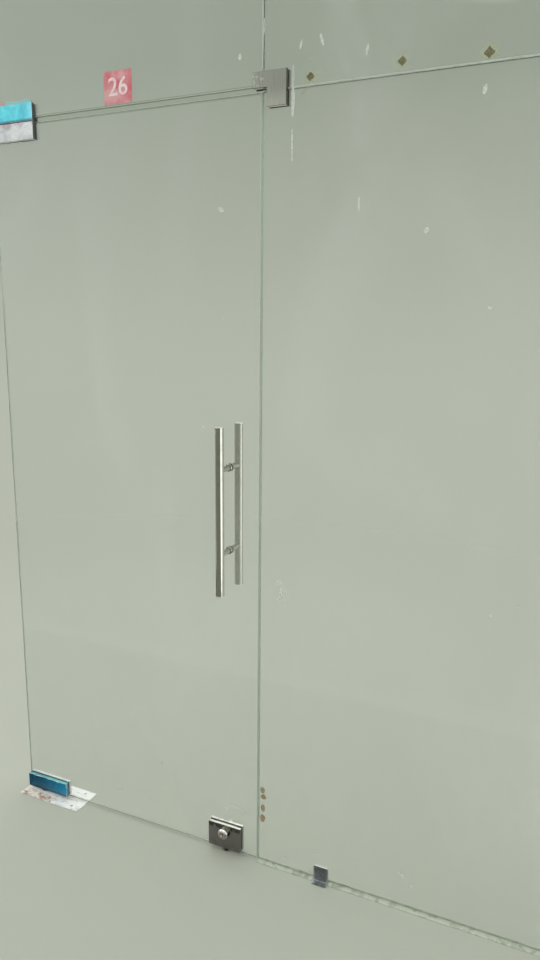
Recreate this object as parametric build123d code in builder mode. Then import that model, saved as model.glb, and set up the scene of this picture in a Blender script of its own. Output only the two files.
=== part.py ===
from build123d import *
import os

# Frameless glass entrance: a leaf that swings both ways on a floor spring, a pane above it,
# and a fixed sidelight in two panes. Lengths are in millimetres.
# The origin is on the leaf's pivot axis, at the finished floor and in the middle of the glass.
# +X runs towards the sidelight, +Y into the building and +Z up. The front is the -Y side.

os.makedirs("parts", exist_ok=True)

# Opening and panes
opening_width = 900.0  # wall face to the sidelight's free edge
pivot_to_wall = 65.0
sidelight_width = 1000.0  # free edge to the far wall face
ceiling_height = 2600.0
glass_thickness = 12.0
glass_arris = 1.0  # ground chamfer round each pane
over_leaf = 412.0  # ceiling to the leaf's top edge
leaf_side_gap = 4.0
leaf_floor_gap = 8.0
overpanel_gap = 14.0  # leaf to the pane above it
silicone_gap = 3.0  # joint between two fixed panes
overrun = 20.0  # how far a cutting window runs past the edge that it opens

# Wall, ceiling and floor channels
channel_width = 20.0
channel_depth = 20.0
channel_wall = 1.5
edge_room = 3.5  # pane edge to the channel's web
strip_depth = 12.0
channel_hole_radius = 2.75
channel_hole_inset = 150.0
channel_over_patch = 2.0
setting_block_length = 100.0
bead_height = 6.0
bead_width = 6.0
bead_hollow = 0.8

# Clamping fittings at the pivots
patch_length = 165.0
patch_height = 48.0
patch_plate = 8.5
patch_cover = 1.5
patch_edge = 0.8
gasket_thickness = 1.0
bottom_patch_lift = 1.0  # glass edge to the fitting's edge
top_patch_stand = 1.5
patch_running_gap = 2.5  # leaf's top fitting to the overpanel's
notch_length = 96.0
notch_height = 28.0
notch_radius = 10.0
notch_room = 1.0
clamp_screw_radius = 3.0
clamp_head_radius = 5.0
clamp_head_height = 4.0
clamp_block_screw = 25.0  # from the fitting's wall end to the first screw
clamp_hole_screw = 27.0  # from its free end to the second, which passes through a hole in the glass
clamp_hole_radius = 9.0
screw_room = 0.2
seat_room = 0.05
film_thickness = 0.3

# Pivots
spindle_square = 15.0
spindle_taper = 4.0
spindle_end = 17.0
socket_wall = 4.5  # at the square's flats
socket_roof = 3.0
neck_radius = 10.0
neck_room = 2.0
journal_radius = 12.0
journal_length = 38.0
running_room = 0.05
pin_radius = 7.5
pin_reach = 20.0  # into the leaf's fitting
pin_roof = 3.5
pin_point = 1.0
bush_wall = 2.5
bush_roof = 4.0  # to the notch's end

# Floor spring
box_height = 60.0
box_wall = 2.0
cover_length = 245.0
cover_width = 114.0
cover_thickness = 2.0
cover_hole_radius = 14.0
cover_overhang = 3.0
cover_screw_inset = 36.0
cover_screw_side = 17.0
cover_screw_radius = 2.5
cover_screw_head = 4.6
cover_screw_length = 14.0
closer_side_room = 12.0
closer_end_room = 5.0
closer_drop = 8.0  # cover's underside to the housing's top
closer_corner = 12.0
boss_radius = 22.0
boss_drop = 3.0
pillar_radius = 7.0
valve_radius = 4.0
valve_height = 3.0
valve_side = 14.0
valve_slot = 1.2

# Corner fitting at the meeting of the panes
corner_arm_reach = 23.0  # past the sidelight's edge, over the pane above the leaf
corner_leg_start = 16.0
corner_leg_width = 53.0
corner_arm_drop = 7.0  # below that pane's bottom edge
corner_drop = 38.0  # leg below the lower pane's top edge
corner_plate = 10.0
corner_edge = 0.8
corner_above_joint = 43.0
corner_notch = 18.0
corner_notch_radius = 5.0
corner_screw_inset = 11.0
corner_screw_radius = 3.0
corner_head_radius = 6.0
corner_screw_bite = 6.0
corner_hole_radius = 7.0

# Pull handle
handle_from_edge = 94.5
handle_centre_height = 1103.5
handle_length = 485.0
handle_spacing = 242.0
handle_axis_depth = 60.0
tube_radius = 12.5
tube_wall = 1.5
cap_dome = 1.4
cap_rim = 1.2
cap_plug = 8.0
standoff_radius = 8.0
standoff_flange_radius = 11.0
standoff_flange = 3.0
standoff_edge = 0.8
handle_bolt_radius = 4.0
handle_bolt_bite = 20.0
handle_hole_radius = 7.0
washer_thickness = 1.0
grub_radius = 2.0
grub_from_flange = 12.0

# Floor lock
lock_from_edge = 53.0
lock_width = 111.0
lock_height = 81.0
lock_bottom = 13.0
lock_plate = 9.0
lock_edge = 1.0
lock_side_overlap = 14.5  # plate past the case
lock_top_overlap = 6.0
lock_case_radius = 9.0
lock_case_wall = 4.0
lock_case_room = 1.0
lock_cavity_width = 42.0
lock_cavity_bottom = 11.0
lock_cavity_radius = 4.0
lock_boss_radius = 17.0
lock_boss_height = 10.0
lock_boss_edge = 2.0
lock_back_boss_height = 6.0
plug_radius = 7.5
plug_stand = 0.5
key_slot_width = 2.2
key_slot_height = 9.0
key_slot_depth = 8.0
crank_radius = 8.0
crank_pin_radius = 2.5
crank_web = 2.0
crank_web_room = 0.5
bolt_radius = 7.0
bolt_proud = 9.0  # below the lock's bottom edge when drawn back
bolt_head_width = 32.0
bolt_head_rim = 3.5
bolt_top_room = 3.0  # above its head when drawn back
bolt_slot_room = 2.0  # above and below the crank pin
bolt_point = 1.0
bolt_side_room = 0.3
lock_screw_side = 7.5  # from the case's sides
lock_screw_top = 4.0  # from its top
lock_screw_bottom = 12.0
lock_screw_radius = 2.5
lock_screw_head = 4.5
turn_length = 34.0
turn_width = 11.0
turn_height = 16.0
turn_gap = 0.3
strike_room = 1.0  # round the bolt
strike_wall = 3.0
strike_rim = 4.0
strike_flange = 1.0
strike_depth = 24.0
strike_floor = 2.0

# Clip at the sidelight's foot
clip_from_edge = 185.0
clip_width = 45.0
clip_height = 51.0
clip_sheet = 3.0
clip_foot = 20.0
clip_pad = 1.0
clip_bend = 2.0
clip_corner = 5.0
clip_screw_radius = 2.5
clip_screw_head = 4.5
clip_screw_length = 25.0
bead_break = 2.0

# Number sticker on the pane above the leaf
sticker_width = 91.0
sticker_height = 84.0
sticker_thickness = 0.3
sticker_corner = 2.0
sticker_left = 353.0
sticker_lift = 5.0

# Places worked out from the sizes
wall_x = -pivot_to_wall
joint_x = wall_x + opening_width
far_x = joint_x + sidelight_width
leaf_left = wall_x + leaf_side_gap
leaf_right = joint_x - leaf_side_gap
leaf_bottom = leaf_floor_gap
leaf_top = ceiling_height - over_leaf
overpanel_bottom = leaf_top + overpanel_gap
overpanel_right = joint_x - silicone_gap / 2
upper_left = joint_x + silicone_gap / 2
upper_bottom = leaf_top + silicone_gap
pane_top = ceiling_height - channel_wall - edge_room
pane_left = wall_x + channel_wall + edge_room
pane_right = far_x - channel_wall - edge_room
pane_foot = -channel_depth + channel_wall + edge_room
glass_face = glass_thickness / 2
plate_face = glass_face + gasket_thickness
strip_thickness = channel_width / 2 - channel_wall - glass_face
patch_outer = plate_face + patch_plate
cover_outer = patch_outer + patch_cover
patch_middle = leaf_left + patch_length / 2
top_patch_top = leaf_top + top_patch_stand
overpanel_patch_bottom = top_patch_top + patch_running_gap
overpanel_patch_stand = overpanel_patch_bottom - overpanel_bottom
overpanel_patch_top = overpanel_patch_bottom + patch_height
clamp_screws = (leaf_left + clamp_block_screw, leaf_left + patch_length - clamp_hole_screw)
clamp_hole_rise = patch_height / 2


def facing(y):
    """The plane at depth y as the front view shows it. An extrusion from it comes forward, to -Y."""
    return Plane.XZ.offset(-y)


def middle(low, high):
    return (low + high) / 2


def pane(left, right, bottom, top, cuts=(), holes=()):
    """A pane with ground edges. Each cut is a rounded window and each hole a drilled circle."""
    with BuildPart() as glass:
        with BuildSketch(facing(glass_face)):
            with Locations((middle(left, right), middle(bottom, top))):
                Rectangle(right - left, top - bottom)
            for x0, x1, z0, z1, radius in cuts:
                with Locations((middle(x0, x1), middle(z0, z1))):
                    RectangleRounded(x1 - x0, z1 - z0, radius, mode=Mode.SUBTRACT)
            for x, z, radius in holes:
                with Locations((x, z)):
                    Circle(radius, mode=Mode.SUBTRACT)
        extrude(amount=glass_thickness)
        rims = [face.outer_wire().edges() for face in glass.faces().filter_by(Axis.Y)]
        chamfer([edge for rim in rims for edge in rim], glass_arris)
    return glass


def channel(plane, length, holes):
    """A U channel with its web's outside on the plane. It runs along the plane's x and opens along its z."""
    with BuildPart() as profile:
        with BuildSketch(plane):
            Rectangle(length, channel_width, align=(Align.MIN, Align.CENTER))
        extrude(amount=channel_depth)
        with BuildSketch(plane.offset(channel_wall)):
            Rectangle(length, channel_width - 2 * channel_wall, align=(Align.MIN, Align.CENTER))
        extrude(amount=channel_depth, mode=Mode.SUBTRACT)
        with BuildSketch(plane):
            with Locations(*[(hole, 0) for hole in holes]):
                Circle(channel_hole_radius)
        extrude(amount=channel_wall, mode=Mode.SUBTRACT)
    return profile


# Fixed panes and the leaf
lock_right = leaf_right - lock_from_edge
lock_x = lock_right - lock_width / 2
lock_top = lock_bottom + lock_height
lock_case_width = lock_width - 2 * lock_side_overlap
lock_case_top = lock_top - lock_top_overlap
handle_x = leaf_right - handle_from_edge
standoff_heights = (handle_centre_height - handle_spacing / 2, handle_centre_height + handle_spacing / 2)
corner_left = joint_x - corner_arm_reach
corner_leg_left = joint_x + corner_leg_start
corner_right = corner_leg_left + corner_leg_width
corner_bottom = leaf_top - corner_drop
corner_top = upper_bottom + corner_above_joint
corner_arm_bottom = overpanel_bottom - corner_arm_drop
corner_screw_x = middle(corner_leg_left, corner_right)
corner_screw_places = (
    (corner_screw_x, middle(corner_bottom, leaf_top)),
    (corner_screw_x, middle(upper_bottom, corner_top)),
    (corner_left + corner_screw_inset, middle(corner_arm_bottom, corner_top)),
)

notch_left = leaf_left - overrun
notch_right = leaf_left + notch_length
case_half = lock_case_width / 2 + lock_case_room
case_cut_top = lock_case_top + lock_case_room
case_cut_radius = lock_case_radius + lock_case_room

door_glass = pane(
    leaf_left,
    leaf_right,
    leaf_bottom,
    leaf_top,
    cuts=[
        (notch_left, notch_right, leaf_bottom - overrun, leaf_bottom + notch_height, notch_radius),
        (notch_left, notch_right, leaf_top - notch_height, leaf_top + overrun, notch_radius),
        (lock_x - case_half, lock_x + case_half, leaf_bottom - overrun, case_cut_top, case_cut_radius),
    ],
    holes=[
        (clamp_screws[1], leaf_bottom + bottom_patch_lift + clamp_hole_rise, clamp_hole_radius),
        (clamp_screws[1], top_patch_top - clamp_hole_rise, clamp_hole_radius),
        (handle_x, standoff_heights[0], handle_hole_radius),
        (handle_x, standoff_heights[1], handle_hole_radius),
    ],
)

overpanel_glass = pane(
    pane_left,
    overpanel_right,
    overpanel_bottom,
    pane_top,
    cuts=[
        (notch_left, notch_right, overpanel_bottom - overrun, overpanel_bottom + notch_height, notch_radius),
        (
            corner_screw_places[2][0] - corner_notch / 2,
            overpanel_right + overrun,
            overpanel_bottom - overrun,
            corner_screw_places[2][1] + corner_notch / 2,
            corner_notch_radius,
        ),
    ],
    holes=[(clamp_screws[1], overpanel_patch_bottom + clamp_hole_rise, clamp_hole_radius)],
)

sidelight_lower_glass = pane(
    joint_x, pane_right, pane_foot, leaf_top, holes=[(*corner_screw_places[0], corner_hole_radius)]
)
sidelight_upper_glass = pane(
    upper_left, pane_right, upper_bottom, pane_top, holes=[(*corner_screw_places[1], corner_hole_radius)]
)

# Channels, strips, blocks and silicone
side_channel_top = ceiling_height - channel_depth
left_channel_foot = overpanel_patch_top + channel_over_patch
left_channel_length = side_channel_top - left_channel_foot
ceiling_plane = Plane(origin=(wall_x, 0, ceiling_height), x_dir=(1, 0, 0), z_dir=(0, 0, -1))
left_plane = Plane(origin=(wall_x, 0, left_channel_foot), x_dir=(0, 0, 1), z_dir=(1, 0, 0))
right_plane = Plane(origin=(far_x, 0, 0), x_dir=(0, 0, 1), z_dir=(-1, 0, 0))
floor_plane = Plane(origin=(joint_x, 0, -channel_depth), x_dir=(1, 0, 0), z_dir=(0, 0, 1))
ceiling_length = far_x - wall_x


def end_holes(length):
    return (channel_hole_inset, length - channel_hole_inset)


ceiling_channel = channel(ceiling_plane, ceiling_length, end_holes(ceiling_length))
overpanel_wall_channel = channel(
    left_plane, left_channel_length, (left_channel_length / 4, left_channel_length * 3 / 4)
)
sidelight_wall_channel = channel(right_plane, side_channel_top, end_holes(side_channel_top))
floor_channel = channel(floor_plane, sidelight_width, end_holes(sidelight_width))

with BuildPart() as glazing_strips:
    runs = (
        (ceiling_plane, channel_depth, ceiling_length - channel_depth),
        (left_plane, 0, left_channel_length),
        (right_plane, 0, side_channel_top),
        (floor_plane, 0, sidelight_width - channel_depth),
    )
    for run_plane, start, end in runs:
        with BuildSketch(run_plane.offset(channel_depth - strip_depth)):
            for side in (-1, 1):
                with Locations((middle(start, end), side * (glass_face + strip_thickness / 2))):
                    Rectangle(end - start, strip_thickness)
        extrude(amount=strip_depth)

with BuildPart() as setting_blocks:
    with BuildSketch(floor_plane.offset(channel_wall)):
        with Locations((sidelight_width / 4, 0), (sidelight_width * 3 / 4, 0)):
            Rectangle(setting_block_length, glass_thickness)
    extrude(amount=edge_room)

with BuildPart() as joint_silicone:
    with BuildSketch(facing(glass_face)):
        with Locations((middle(upper_left, pane_right), middle(leaf_top, upper_bottom))):
            Rectangle(pane_right - upper_left, silicone_gap)
        with Locations((joint_x, middle(overpanel_bottom, pane_top))):
            Rectangle(silicone_gap, pane_top - overpanel_bottom)
    extrude(amount=glass_thickness)

clip_left = joint_x + clip_from_edge
clip_right = clip_left + clip_width
bead_end = far_x - channel_depth
front_beads = ((joint_x, clip_left - bead_break), (clip_right + bead_break, bead_end))

with BuildPart() as floor_silicone:
    for side, runs in ((-1, front_beads), (1, ((joint_x, bead_end),))):
        for start, end in runs:
            with BuildSketch(Plane.YZ.offset(start)):
                with BuildLine():
                    foot = (side * (glass_face + bead_width), 0)
                    head = (side * glass_face, bead_height)
                    hollow_y = side * (glass_face + bead_width / 2 - bead_hollow)
                    Polyline(foot, (side * glass_face, 0), head)
                    ThreePointArc(head, (hollow_y, bead_height / 2 - bead_hollow), foot)
                make_face()
            extrude(amount=end - start)


# Pivot fittings: a plate with a block in the glass notch, a clamp plate in front and thin covers
def rise(edge, up, stand, height):
    """The level a height into the fitting, which lies up (1) or down (-1) from the glass edge."""
    return edge + up * (stand + height)


def pocket(edge, up, stand):
    """The plane on the fitting's inner edge, looking into the fitting along the pivot axis."""
    return Plane(origin=(0, 0, rise(edge, up, stand, patch_cover)), x_dir=(1, 0, 0), z_dir=(0, 0, up))


def screw_places(edge, up, stand):
    """Where the two clamp screws run: one through the notch, one through the drilled hole."""
    return (
        (clamp_screws[0], edge + up * notch_height / 2),
        (clamp_screws[1], rise(edge, up, stand, patch_height / 2)),
    )


def patch_body(edge, up, stand, pocket_radius, pocket_height):
    block_start = stand + patch_cover
    block_height = notch_height - notch_room - block_start
    block_length = notch_length - notch_room - patch_cover
    block_centre = (leaf_left + patch_cover + block_length / 2, edge + up * (block_start + block_height / 2))
    with BuildPart() as body:
        with BuildSketch(facing(patch_outer)):
            with Locations((patch_middle, rise(edge, up, stand, patch_height / 2))):
                Rectangle(patch_length - 2 * patch_cover, patch_height - 2 * patch_cover)
        extrude(amount=patch_plate)
        with BuildSketch(facing(plate_face)):
            with Locations(block_centre):
                RectangleRounded(block_length, block_height, notch_radius - notch_room)
            with Locations(screw_places(edge, up, stand)[1]):
                Circle(clamp_hole_radius - notch_room)
        extrude(amount=2 * plate_face)
        with BuildSketch(facing(patch_outer)):
            with Locations(*screw_places(edge, up, stand)):
                Circle(clamp_screw_radius + seat_room)
        extrude(amount=patch_plate + 2 * plate_face, mode=Mode.SUBTRACT)
        with BuildSketch(pocket(edge, up, stand)):
            Circle(pocket_radius + seat_room)
        extrude(amount=pocket_height, mode=Mode.SUBTRACT)
    return body


def patch_clamp(edge, up, stand, pocket_radius, pocket_height):
    with BuildPart() as clamp:
        with BuildSketch(facing(-plate_face)):
            with Locations((patch_middle, rise(edge, up, stand, patch_height / 2))):
                Rectangle(patch_length - 2 * patch_cover, patch_height - 2 * patch_cover)
            with Locations(*screw_places(edge, up, stand)):
                Circle(clamp_screw_radius + screw_room, mode=Mode.SUBTRACT)
        extrude(amount=patch_plate)
        with BuildSketch(facing(-patch_outer + clamp_head_height)):
            with Locations(*screw_places(edge, up, stand)):
                Circle(clamp_head_radius + screw_room)
        extrude(amount=clamp_head_height, mode=Mode.SUBTRACT)
        with BuildSketch(pocket(edge, up, stand)):
            Circle(pocket_radius + seat_room)
        extrude(amount=pocket_height, mode=Mode.SUBTRACT)
    return clamp


def patch_covers(edge, up, stand, shaft_radius):
    centre = (patch_middle, rise(edge, up, stand, patch_height / 2))
    depth = cover_outer - plate_face
    with BuildPart() as covers:
        for start in (cover_outer, -plate_face):
            with BuildSketch(facing(start)):
                with Locations(centre):
                    Rectangle(patch_length, patch_height)
            extrude(amount=depth)
        outer_faces = covers.faces().filter_by(Axis.Y).sort_by(Axis.Y)
        chamfer(outer_faces[0].edges() + outer_faces[-1].edges(), patch_edge)
        for start in (patch_outer, -plate_face):
            with BuildSketch(facing(start)):
                with Locations(centre):
                    Rectangle(patch_length - 2 * patch_cover, patch_height - 2 * patch_cover)
            extrude(amount=patch_plate, mode=Mode.SUBTRACT)
        with BuildSketch(Plane.XY.offset(edge + up * stand)):
            Circle(shaft_radius + neck_room)
        extrude(amount=up * patch_cover, mode=Mode.SUBTRACT)
    return covers


def patch_gaskets(edge, up, stand):
    """Sheets between the plates and the glass, which leave the notch and the drilled hole free."""
    start = max(stand, 0)
    end = stand + patch_height - patch_cover
    window_start = start - overrun
    window_size = (notch_right - notch_left, notch_height - window_start)
    window_centre = (middle(notch_left, notch_right), edge + up * middle(window_start, notch_height))
    with BuildPart() as gaskets:
        for back in (plate_face, -glass_face):
            with BuildSketch(facing(back)):
                with Locations((patch_middle, edge + up * middle(start, end))):
                    Rectangle(patch_length - 2 * patch_cover, end - start)
                with Locations(window_centre):
                    RectangleRounded(*window_size, notch_radius, mode=Mode.SUBTRACT)
                with Locations(screw_places(edge, up, stand)[1]):
                    Circle(clamp_hole_radius, mode=Mode.SUBTRACT)
            extrude(amount=gasket_thickness)
    return gaskets


def patch_screws(fittings):
    """Socket-head screws that enter from the front plate and thread into the block behind."""
    with BuildPart() as screws:
        for fitting in fittings:
            with BuildSketch(facing(-patch_outer + clamp_head_height)):
                with Locations(*screw_places(*fitting)):
                    Circle(clamp_head_radius)
            extrude(amount=clamp_head_height)
            with BuildSketch(facing(patch_outer - patch_cover)):
                with Locations(*screw_places(*fitting)):
                    Circle(clamp_screw_radius)
            extrude(amount=2 * patch_outer - patch_cover - clamp_head_height)
            with BuildSketch(facing(-patch_outer + clamp_head_height / 2)):
                with Locations(*screw_places(*fitting)):
                    RegularPolygon(clamp_head_radius / 2, 6)
            extrude(amount=clamp_head_height / 2, mode=Mode.SUBTRACT)
    return screws


def patch_film(edge, up, stand):
    with BuildPart() as film:
        with BuildSketch(facing(-cover_outer)):
            with Locations((patch_middle, rise(edge, up, stand, patch_height / 2))):
                Rectangle(patch_length - 2 * patch_edge, patch_height - 2 * patch_edge)
        extrude(amount=film_thickness)
    return film


bottom_fitting = (leaf_bottom, 1, bottom_patch_lift)
top_fitting = (leaf_top, -1, -top_patch_stand)
overpanel_fitting = (overpanel_bottom, 1, overpanel_patch_stand)
socket_radius = spindle_square / 2 + socket_wall
socket_height = spindle_end + socket_roof
bush_radius = pin_radius + bush_wall
bush_height = notch_height - bush_roof
pin_foot = top_patch_top - pin_reach
pin_top = overpanel_bottom + notch_height - notch_room - pin_roof
pin_pocket = pin_top - overpanel_patch_bottom

bottom_patch_body = patch_body(*bottom_fitting, socket_radius, socket_height)
bottom_patch_clamp = patch_clamp(*bottom_fitting, socket_radius, socket_height)
bottom_patch_covers = patch_covers(*bottom_fitting, neck_radius)
bottom_patch_gaskets = patch_gaskets(*bottom_fitting)
bottom_patch_film = patch_film(*bottom_fitting)
top_patch_body = patch_body(*top_fitting, bush_radius, bush_height)
top_patch_clamp = patch_clamp(*top_fitting, bush_radius, bush_height)
top_patch_covers = patch_covers(*top_fitting, pin_radius)
top_patch_gaskets = patch_gaskets(*top_fitting)
leaf_patch_screws = patch_screws((bottom_fitting, top_fitting))
overpanel_patch_body = patch_body(*overpanel_fitting, pin_radius, pin_pocket)
overpanel_patch_clamp = patch_clamp(*overpanel_fitting, pin_radius, pin_pocket)
overpanel_patch_covers = patch_covers(*overpanel_fitting, pin_radius)
overpanel_patch_gaskets = patch_gaskets(*overpanel_fitting)
overpanel_patch_screws = patch_screws((overpanel_fitting,))
overpanel_patch_film = patch_film(*overpanel_fitting)

# Pivot parts on the axis
socket_foot = leaf_bottom + bottom_patch_lift + patch_cover

with BuildPart() as bottom_patch_socket:
    with BuildSketch(Plane.XY.offset(socket_foot)):
        Circle(socket_radius)
    extrude(amount=socket_height)
    with BuildSketch(Plane.XY.offset(socket_foot)):
        Rectangle(spindle_square + 2 * seat_room, spindle_square + 2 * seat_room)
    extrude(amount=spindle_end + screw_room, taper=spindle_taper, mode=Mode.SUBTRACT)

with BuildPart() as closer_spindle:
    with BuildSketch(Plane.XY.offset(-boss_drop)):
        Circle(journal_radius)
    extrude(amount=-journal_length)
    with BuildSketch(Plane.XY.offset(-boss_drop)):
        Circle(neck_radius)
    extrude(amount=socket_foot + boss_drop - screw_room)
    with BuildSketch(Plane.XY.offset(socket_foot - screw_room)):
        Rectangle(spindle_square, spindle_square)
    extrude(amount=spindle_end, taper=spindle_taper)

bush_head = top_patch_top - patch_cover

with BuildPart() as top_patch_bush:
    with BuildSketch(Plane.XY.offset(bush_head)):
        Circle(bush_radius)
        Circle(pin_radius + running_room, mode=Mode.SUBTRACT)
    extrude(amount=-bush_height)

with BuildPart() as top_pivot_pin:
    with BuildSketch(Plane.XY.offset(pin_foot)):
        Circle(pin_radius)
    extrude(amount=pin_top - pin_foot)
    chamfer(top_pivot_pin.edges().group_by(Axis.Z)[0], pin_point)

# Floor spring under the cover plate
cover_left = wall_x
cover_right = cover_left + cover_length
cover_middle = middle(cover_left, cover_right)
box_length = cover_length - 2 * cover_overhang
box_width = cover_width - 2 * cover_overhang
box_inside = box_width - 2 * box_wall
closer_left = cover_left + cover_overhang + box_wall + closer_end_room
closer_right = cover_right - cover_overhang - box_wall - closer_end_room
closer_floor = -box_height + box_wall
cover_screw_places = [
    (x, side * (cover_width / 2 - cover_screw_side))
    for x in (cover_left + cover_screw_inset, cover_right - cover_screw_inset)
    for side in (-1, 1)
]

with BuildPart() as floor_box:
    with BuildSketch(Plane.XY.offset(-box_height)):
        with Locations((cover_middle, 0)):
            Rectangle(box_length, box_width)
    extrude(amount=box_height)
    with BuildSketch(Plane.XY.offset(closer_floor)):
        with Locations((cover_middle, 0)):
            Rectangle(box_length - 2 * box_wall, box_inside)
    extrude(amount=box_height, mode=Mode.SUBTRACT)

with BuildPart() as closer_body:
    with BuildSketch(Plane.XY.offset(closer_floor)):
        with Locations((middle(closer_left, closer_right), 0)):
            RectangleRounded(
                closer_right - closer_left, box_inside - 2 * closer_side_room, closer_corner
            )
    extrude(amount=-closer_drop - closer_floor)
    with BuildSketch(Plane.XY.offset(-closer_drop)):
        Circle(boss_radius)
    extrude(amount=closer_drop - boss_drop)
    with BuildSketch(Plane.XY.offset(closer_floor)):
        with Locations(*cover_screw_places):
            Circle(pillar_radius)
    extrude(amount=-closer_floor)
    with BuildSketch(Plane.XY.offset(-cover_screw_length - screw_room)):
        with Locations(*cover_screw_places):
            Circle(cover_screw_radius + seat_room)
    extrude(amount=cover_screw_length + screw_room, mode=Mode.SUBTRACT)
    with BuildSketch(Plane.XY.offset(-boss_drop)):
        Circle(journal_radius + running_room)
    extrude(amount=-journal_length - screw_room, mode=Mode.SUBTRACT)

with BuildPart() as closer_valve_screws:
    with BuildSketch(Plane.XY.offset(-closer_drop)):
        with Locations(*[(closer_right - closer_corner, side * valve_side) for side in (-1, 1)]):
            Circle(valve_radius)
    extrude(amount=valve_height)
    with BuildSketch(Plane.XY.offset(-closer_drop + valve_height)):
        with Locations(*[(closer_right - closer_corner, side * valve_side) for side in (-1, 1)]):
            Rectangle(valve_radius * 2, valve_slot)
    extrude(amount=-valve_slot, mode=Mode.SUBTRACT)

with BuildPart() as cover_plate:
    with BuildSketch():
        with Locations((cover_middle, 0)):
            Rectangle(cover_length, cover_width)
        Circle(cover_hole_radius, mode=Mode.SUBTRACT)
    extrude(amount=cover_thickness)
    with Locations(*[(x, y, cover_thickness) for x, y in cover_screw_places]):
        CounterSinkHole(cover_screw_radius + screw_room, cover_screw_head, depth=cover_thickness)


def countersunk(face, tip, head_radius, shank_radius):
    """Half the outline of a countersunk screw between the levels of its face and its tip."""
    return (
        (0, face),
        (head_radius, face),
        (shank_radius, face - head_radius + shank_radius),
        (shank_radius, tip),
        (0, tip),
    )


cover_screw = countersunk(
    cover_thickness, -cover_screw_length, cover_screw_head - screw_room, cover_screw_radius
)

with BuildPart() as cover_plate_screws:
    for x, y in cover_screw_places:
        with BuildSketch(Plane(origin=(x, y, 0), x_dir=(1, 0, 0), z_dir=(0, -1, 0))):
            with BuildLine():
                Polyline(*cover_screw, close=True)
            make_face()
        revolve(axis=Axis((x, y, 0), (0, 0, 1)))

# Corner fitting: two L plates that clamp the three fixed panes
corner_outline = (
    (corner_left, corner_arm_bottom),
    (corner_leg_left, corner_arm_bottom),
    (corner_leg_left, corner_bottom),
    (corner_right, corner_bottom),
    (corner_right, corner_top),
    (corner_left, corner_top),
)
corner_outer = plate_face + corner_plate

with BuildPart() as corner_patch_front:
    with BuildSketch(facing(-plate_face)):
        with BuildLine():
            Polyline(*corner_outline, close=True)
        make_face()
    extrude(amount=corner_plate)
    chamfer(corner_patch_front.faces().sort_by(Axis.Y)[0].edges(), corner_edge)
    with BuildSketch(facing(-plate_face)):
        with Locations(*corner_screw_places):
            Circle(corner_screw_radius + seat_room)
    extrude(amount=corner_screw_bite + screw_room, mode=Mode.SUBTRACT)

with BuildPart() as corner_patch_back:
    with BuildSketch(facing(corner_outer)):
        with BuildLine():
            Polyline(*corner_outline, close=True)
        make_face()
    extrude(amount=corner_plate)
    chamfer(corner_patch_back.faces().sort_by(Axis.Y)[-1].edges(), corner_edge)
    with Locations(*[Location((x, corner_outer, z), (-90, 0, 0)) for x, z in corner_screw_places]):
        CounterSinkHole(corner_screw_radius + screw_room, corner_head_radius, depth=corner_plate)

with BuildPart() as corner_patch_gaskets:
    for start in (plate_face, -glass_face):
        with BuildSketch(facing(start)):
            with BuildLine():
                Polyline(*corner_outline, close=True)
            make_face()
            with Locations(*corner_screw_places):
                Circle(corner_hole_radius, mode=Mode.SUBTRACT)
        extrude(amount=gasket_thickness)

corner_screw = countersunk(
    corner_outer, -plate_face - corner_screw_bite, corner_head_radius - screw_room, corner_screw_radius
)

with BuildPart() as corner_patch_screws:
    for x, z in corner_screw_places:
        with BuildSketch(Plane(origin=(x, 0, z), x_dir=(0, 0, 1), z_dir=(-1, 0, 0))):
            with BuildLine():
                Polyline(*corner_screw, close=True)
            make_face()
        revolve(axis=Axis((x, 0, z), (0, 1, 0)))


# Pull handle: a tube on each side of the leaf, on four coped standoffs
def handle_tube(side):
    with BuildPart() as tube:
        with BuildSketch(Plane.XY.offset(handle_centre_height - handle_length / 2 + cap_rim + cap_dome)):
            with Locations((handle_x, side * handle_axis_depth)):
                Circle(tube_radius)
                Circle(tube_radius - tube_wall, mode=Mode.SUBTRACT)
        extrude(amount=handle_length - 2 * (cap_rim + cap_dome))
    return tube


handle_tube_front = handle_tube(-1)
handle_tube_back = handle_tube(1)

with BuildPart() as handle_end_caps:
    for side in (-1, 1):
        for end in (-1, 1):
            y = side * handle_axis_depth
            tip = handle_centre_height + end * handle_length / 2
            rim = tip - end * cap_dome
            seat = rim - end * cap_rim
            with BuildSketch(Plane(origin=(handle_x, y, 0), x_dir=(1, 0, 0), z_dir=(0, -1, 0))):
                with BuildLine():
                    TangentArc((0, tip), (tube_radius, rim), tangent=(1, 0))
                    Polyline(
                        (tube_radius, rim),
                        (tube_radius, seat),
                        (tube_radius - tube_wall - seat_room, seat),
                        (tube_radius - tube_wall - seat_room, seat - end * cap_plug),
                        (0, seat - end * cap_plug),
                        (0, tip),
                    )
                make_face()
            revolve(axis=Axis((handle_x, y, 0), (0, 0, 1)))

standoff_foot = glass_face + washer_thickness

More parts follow.
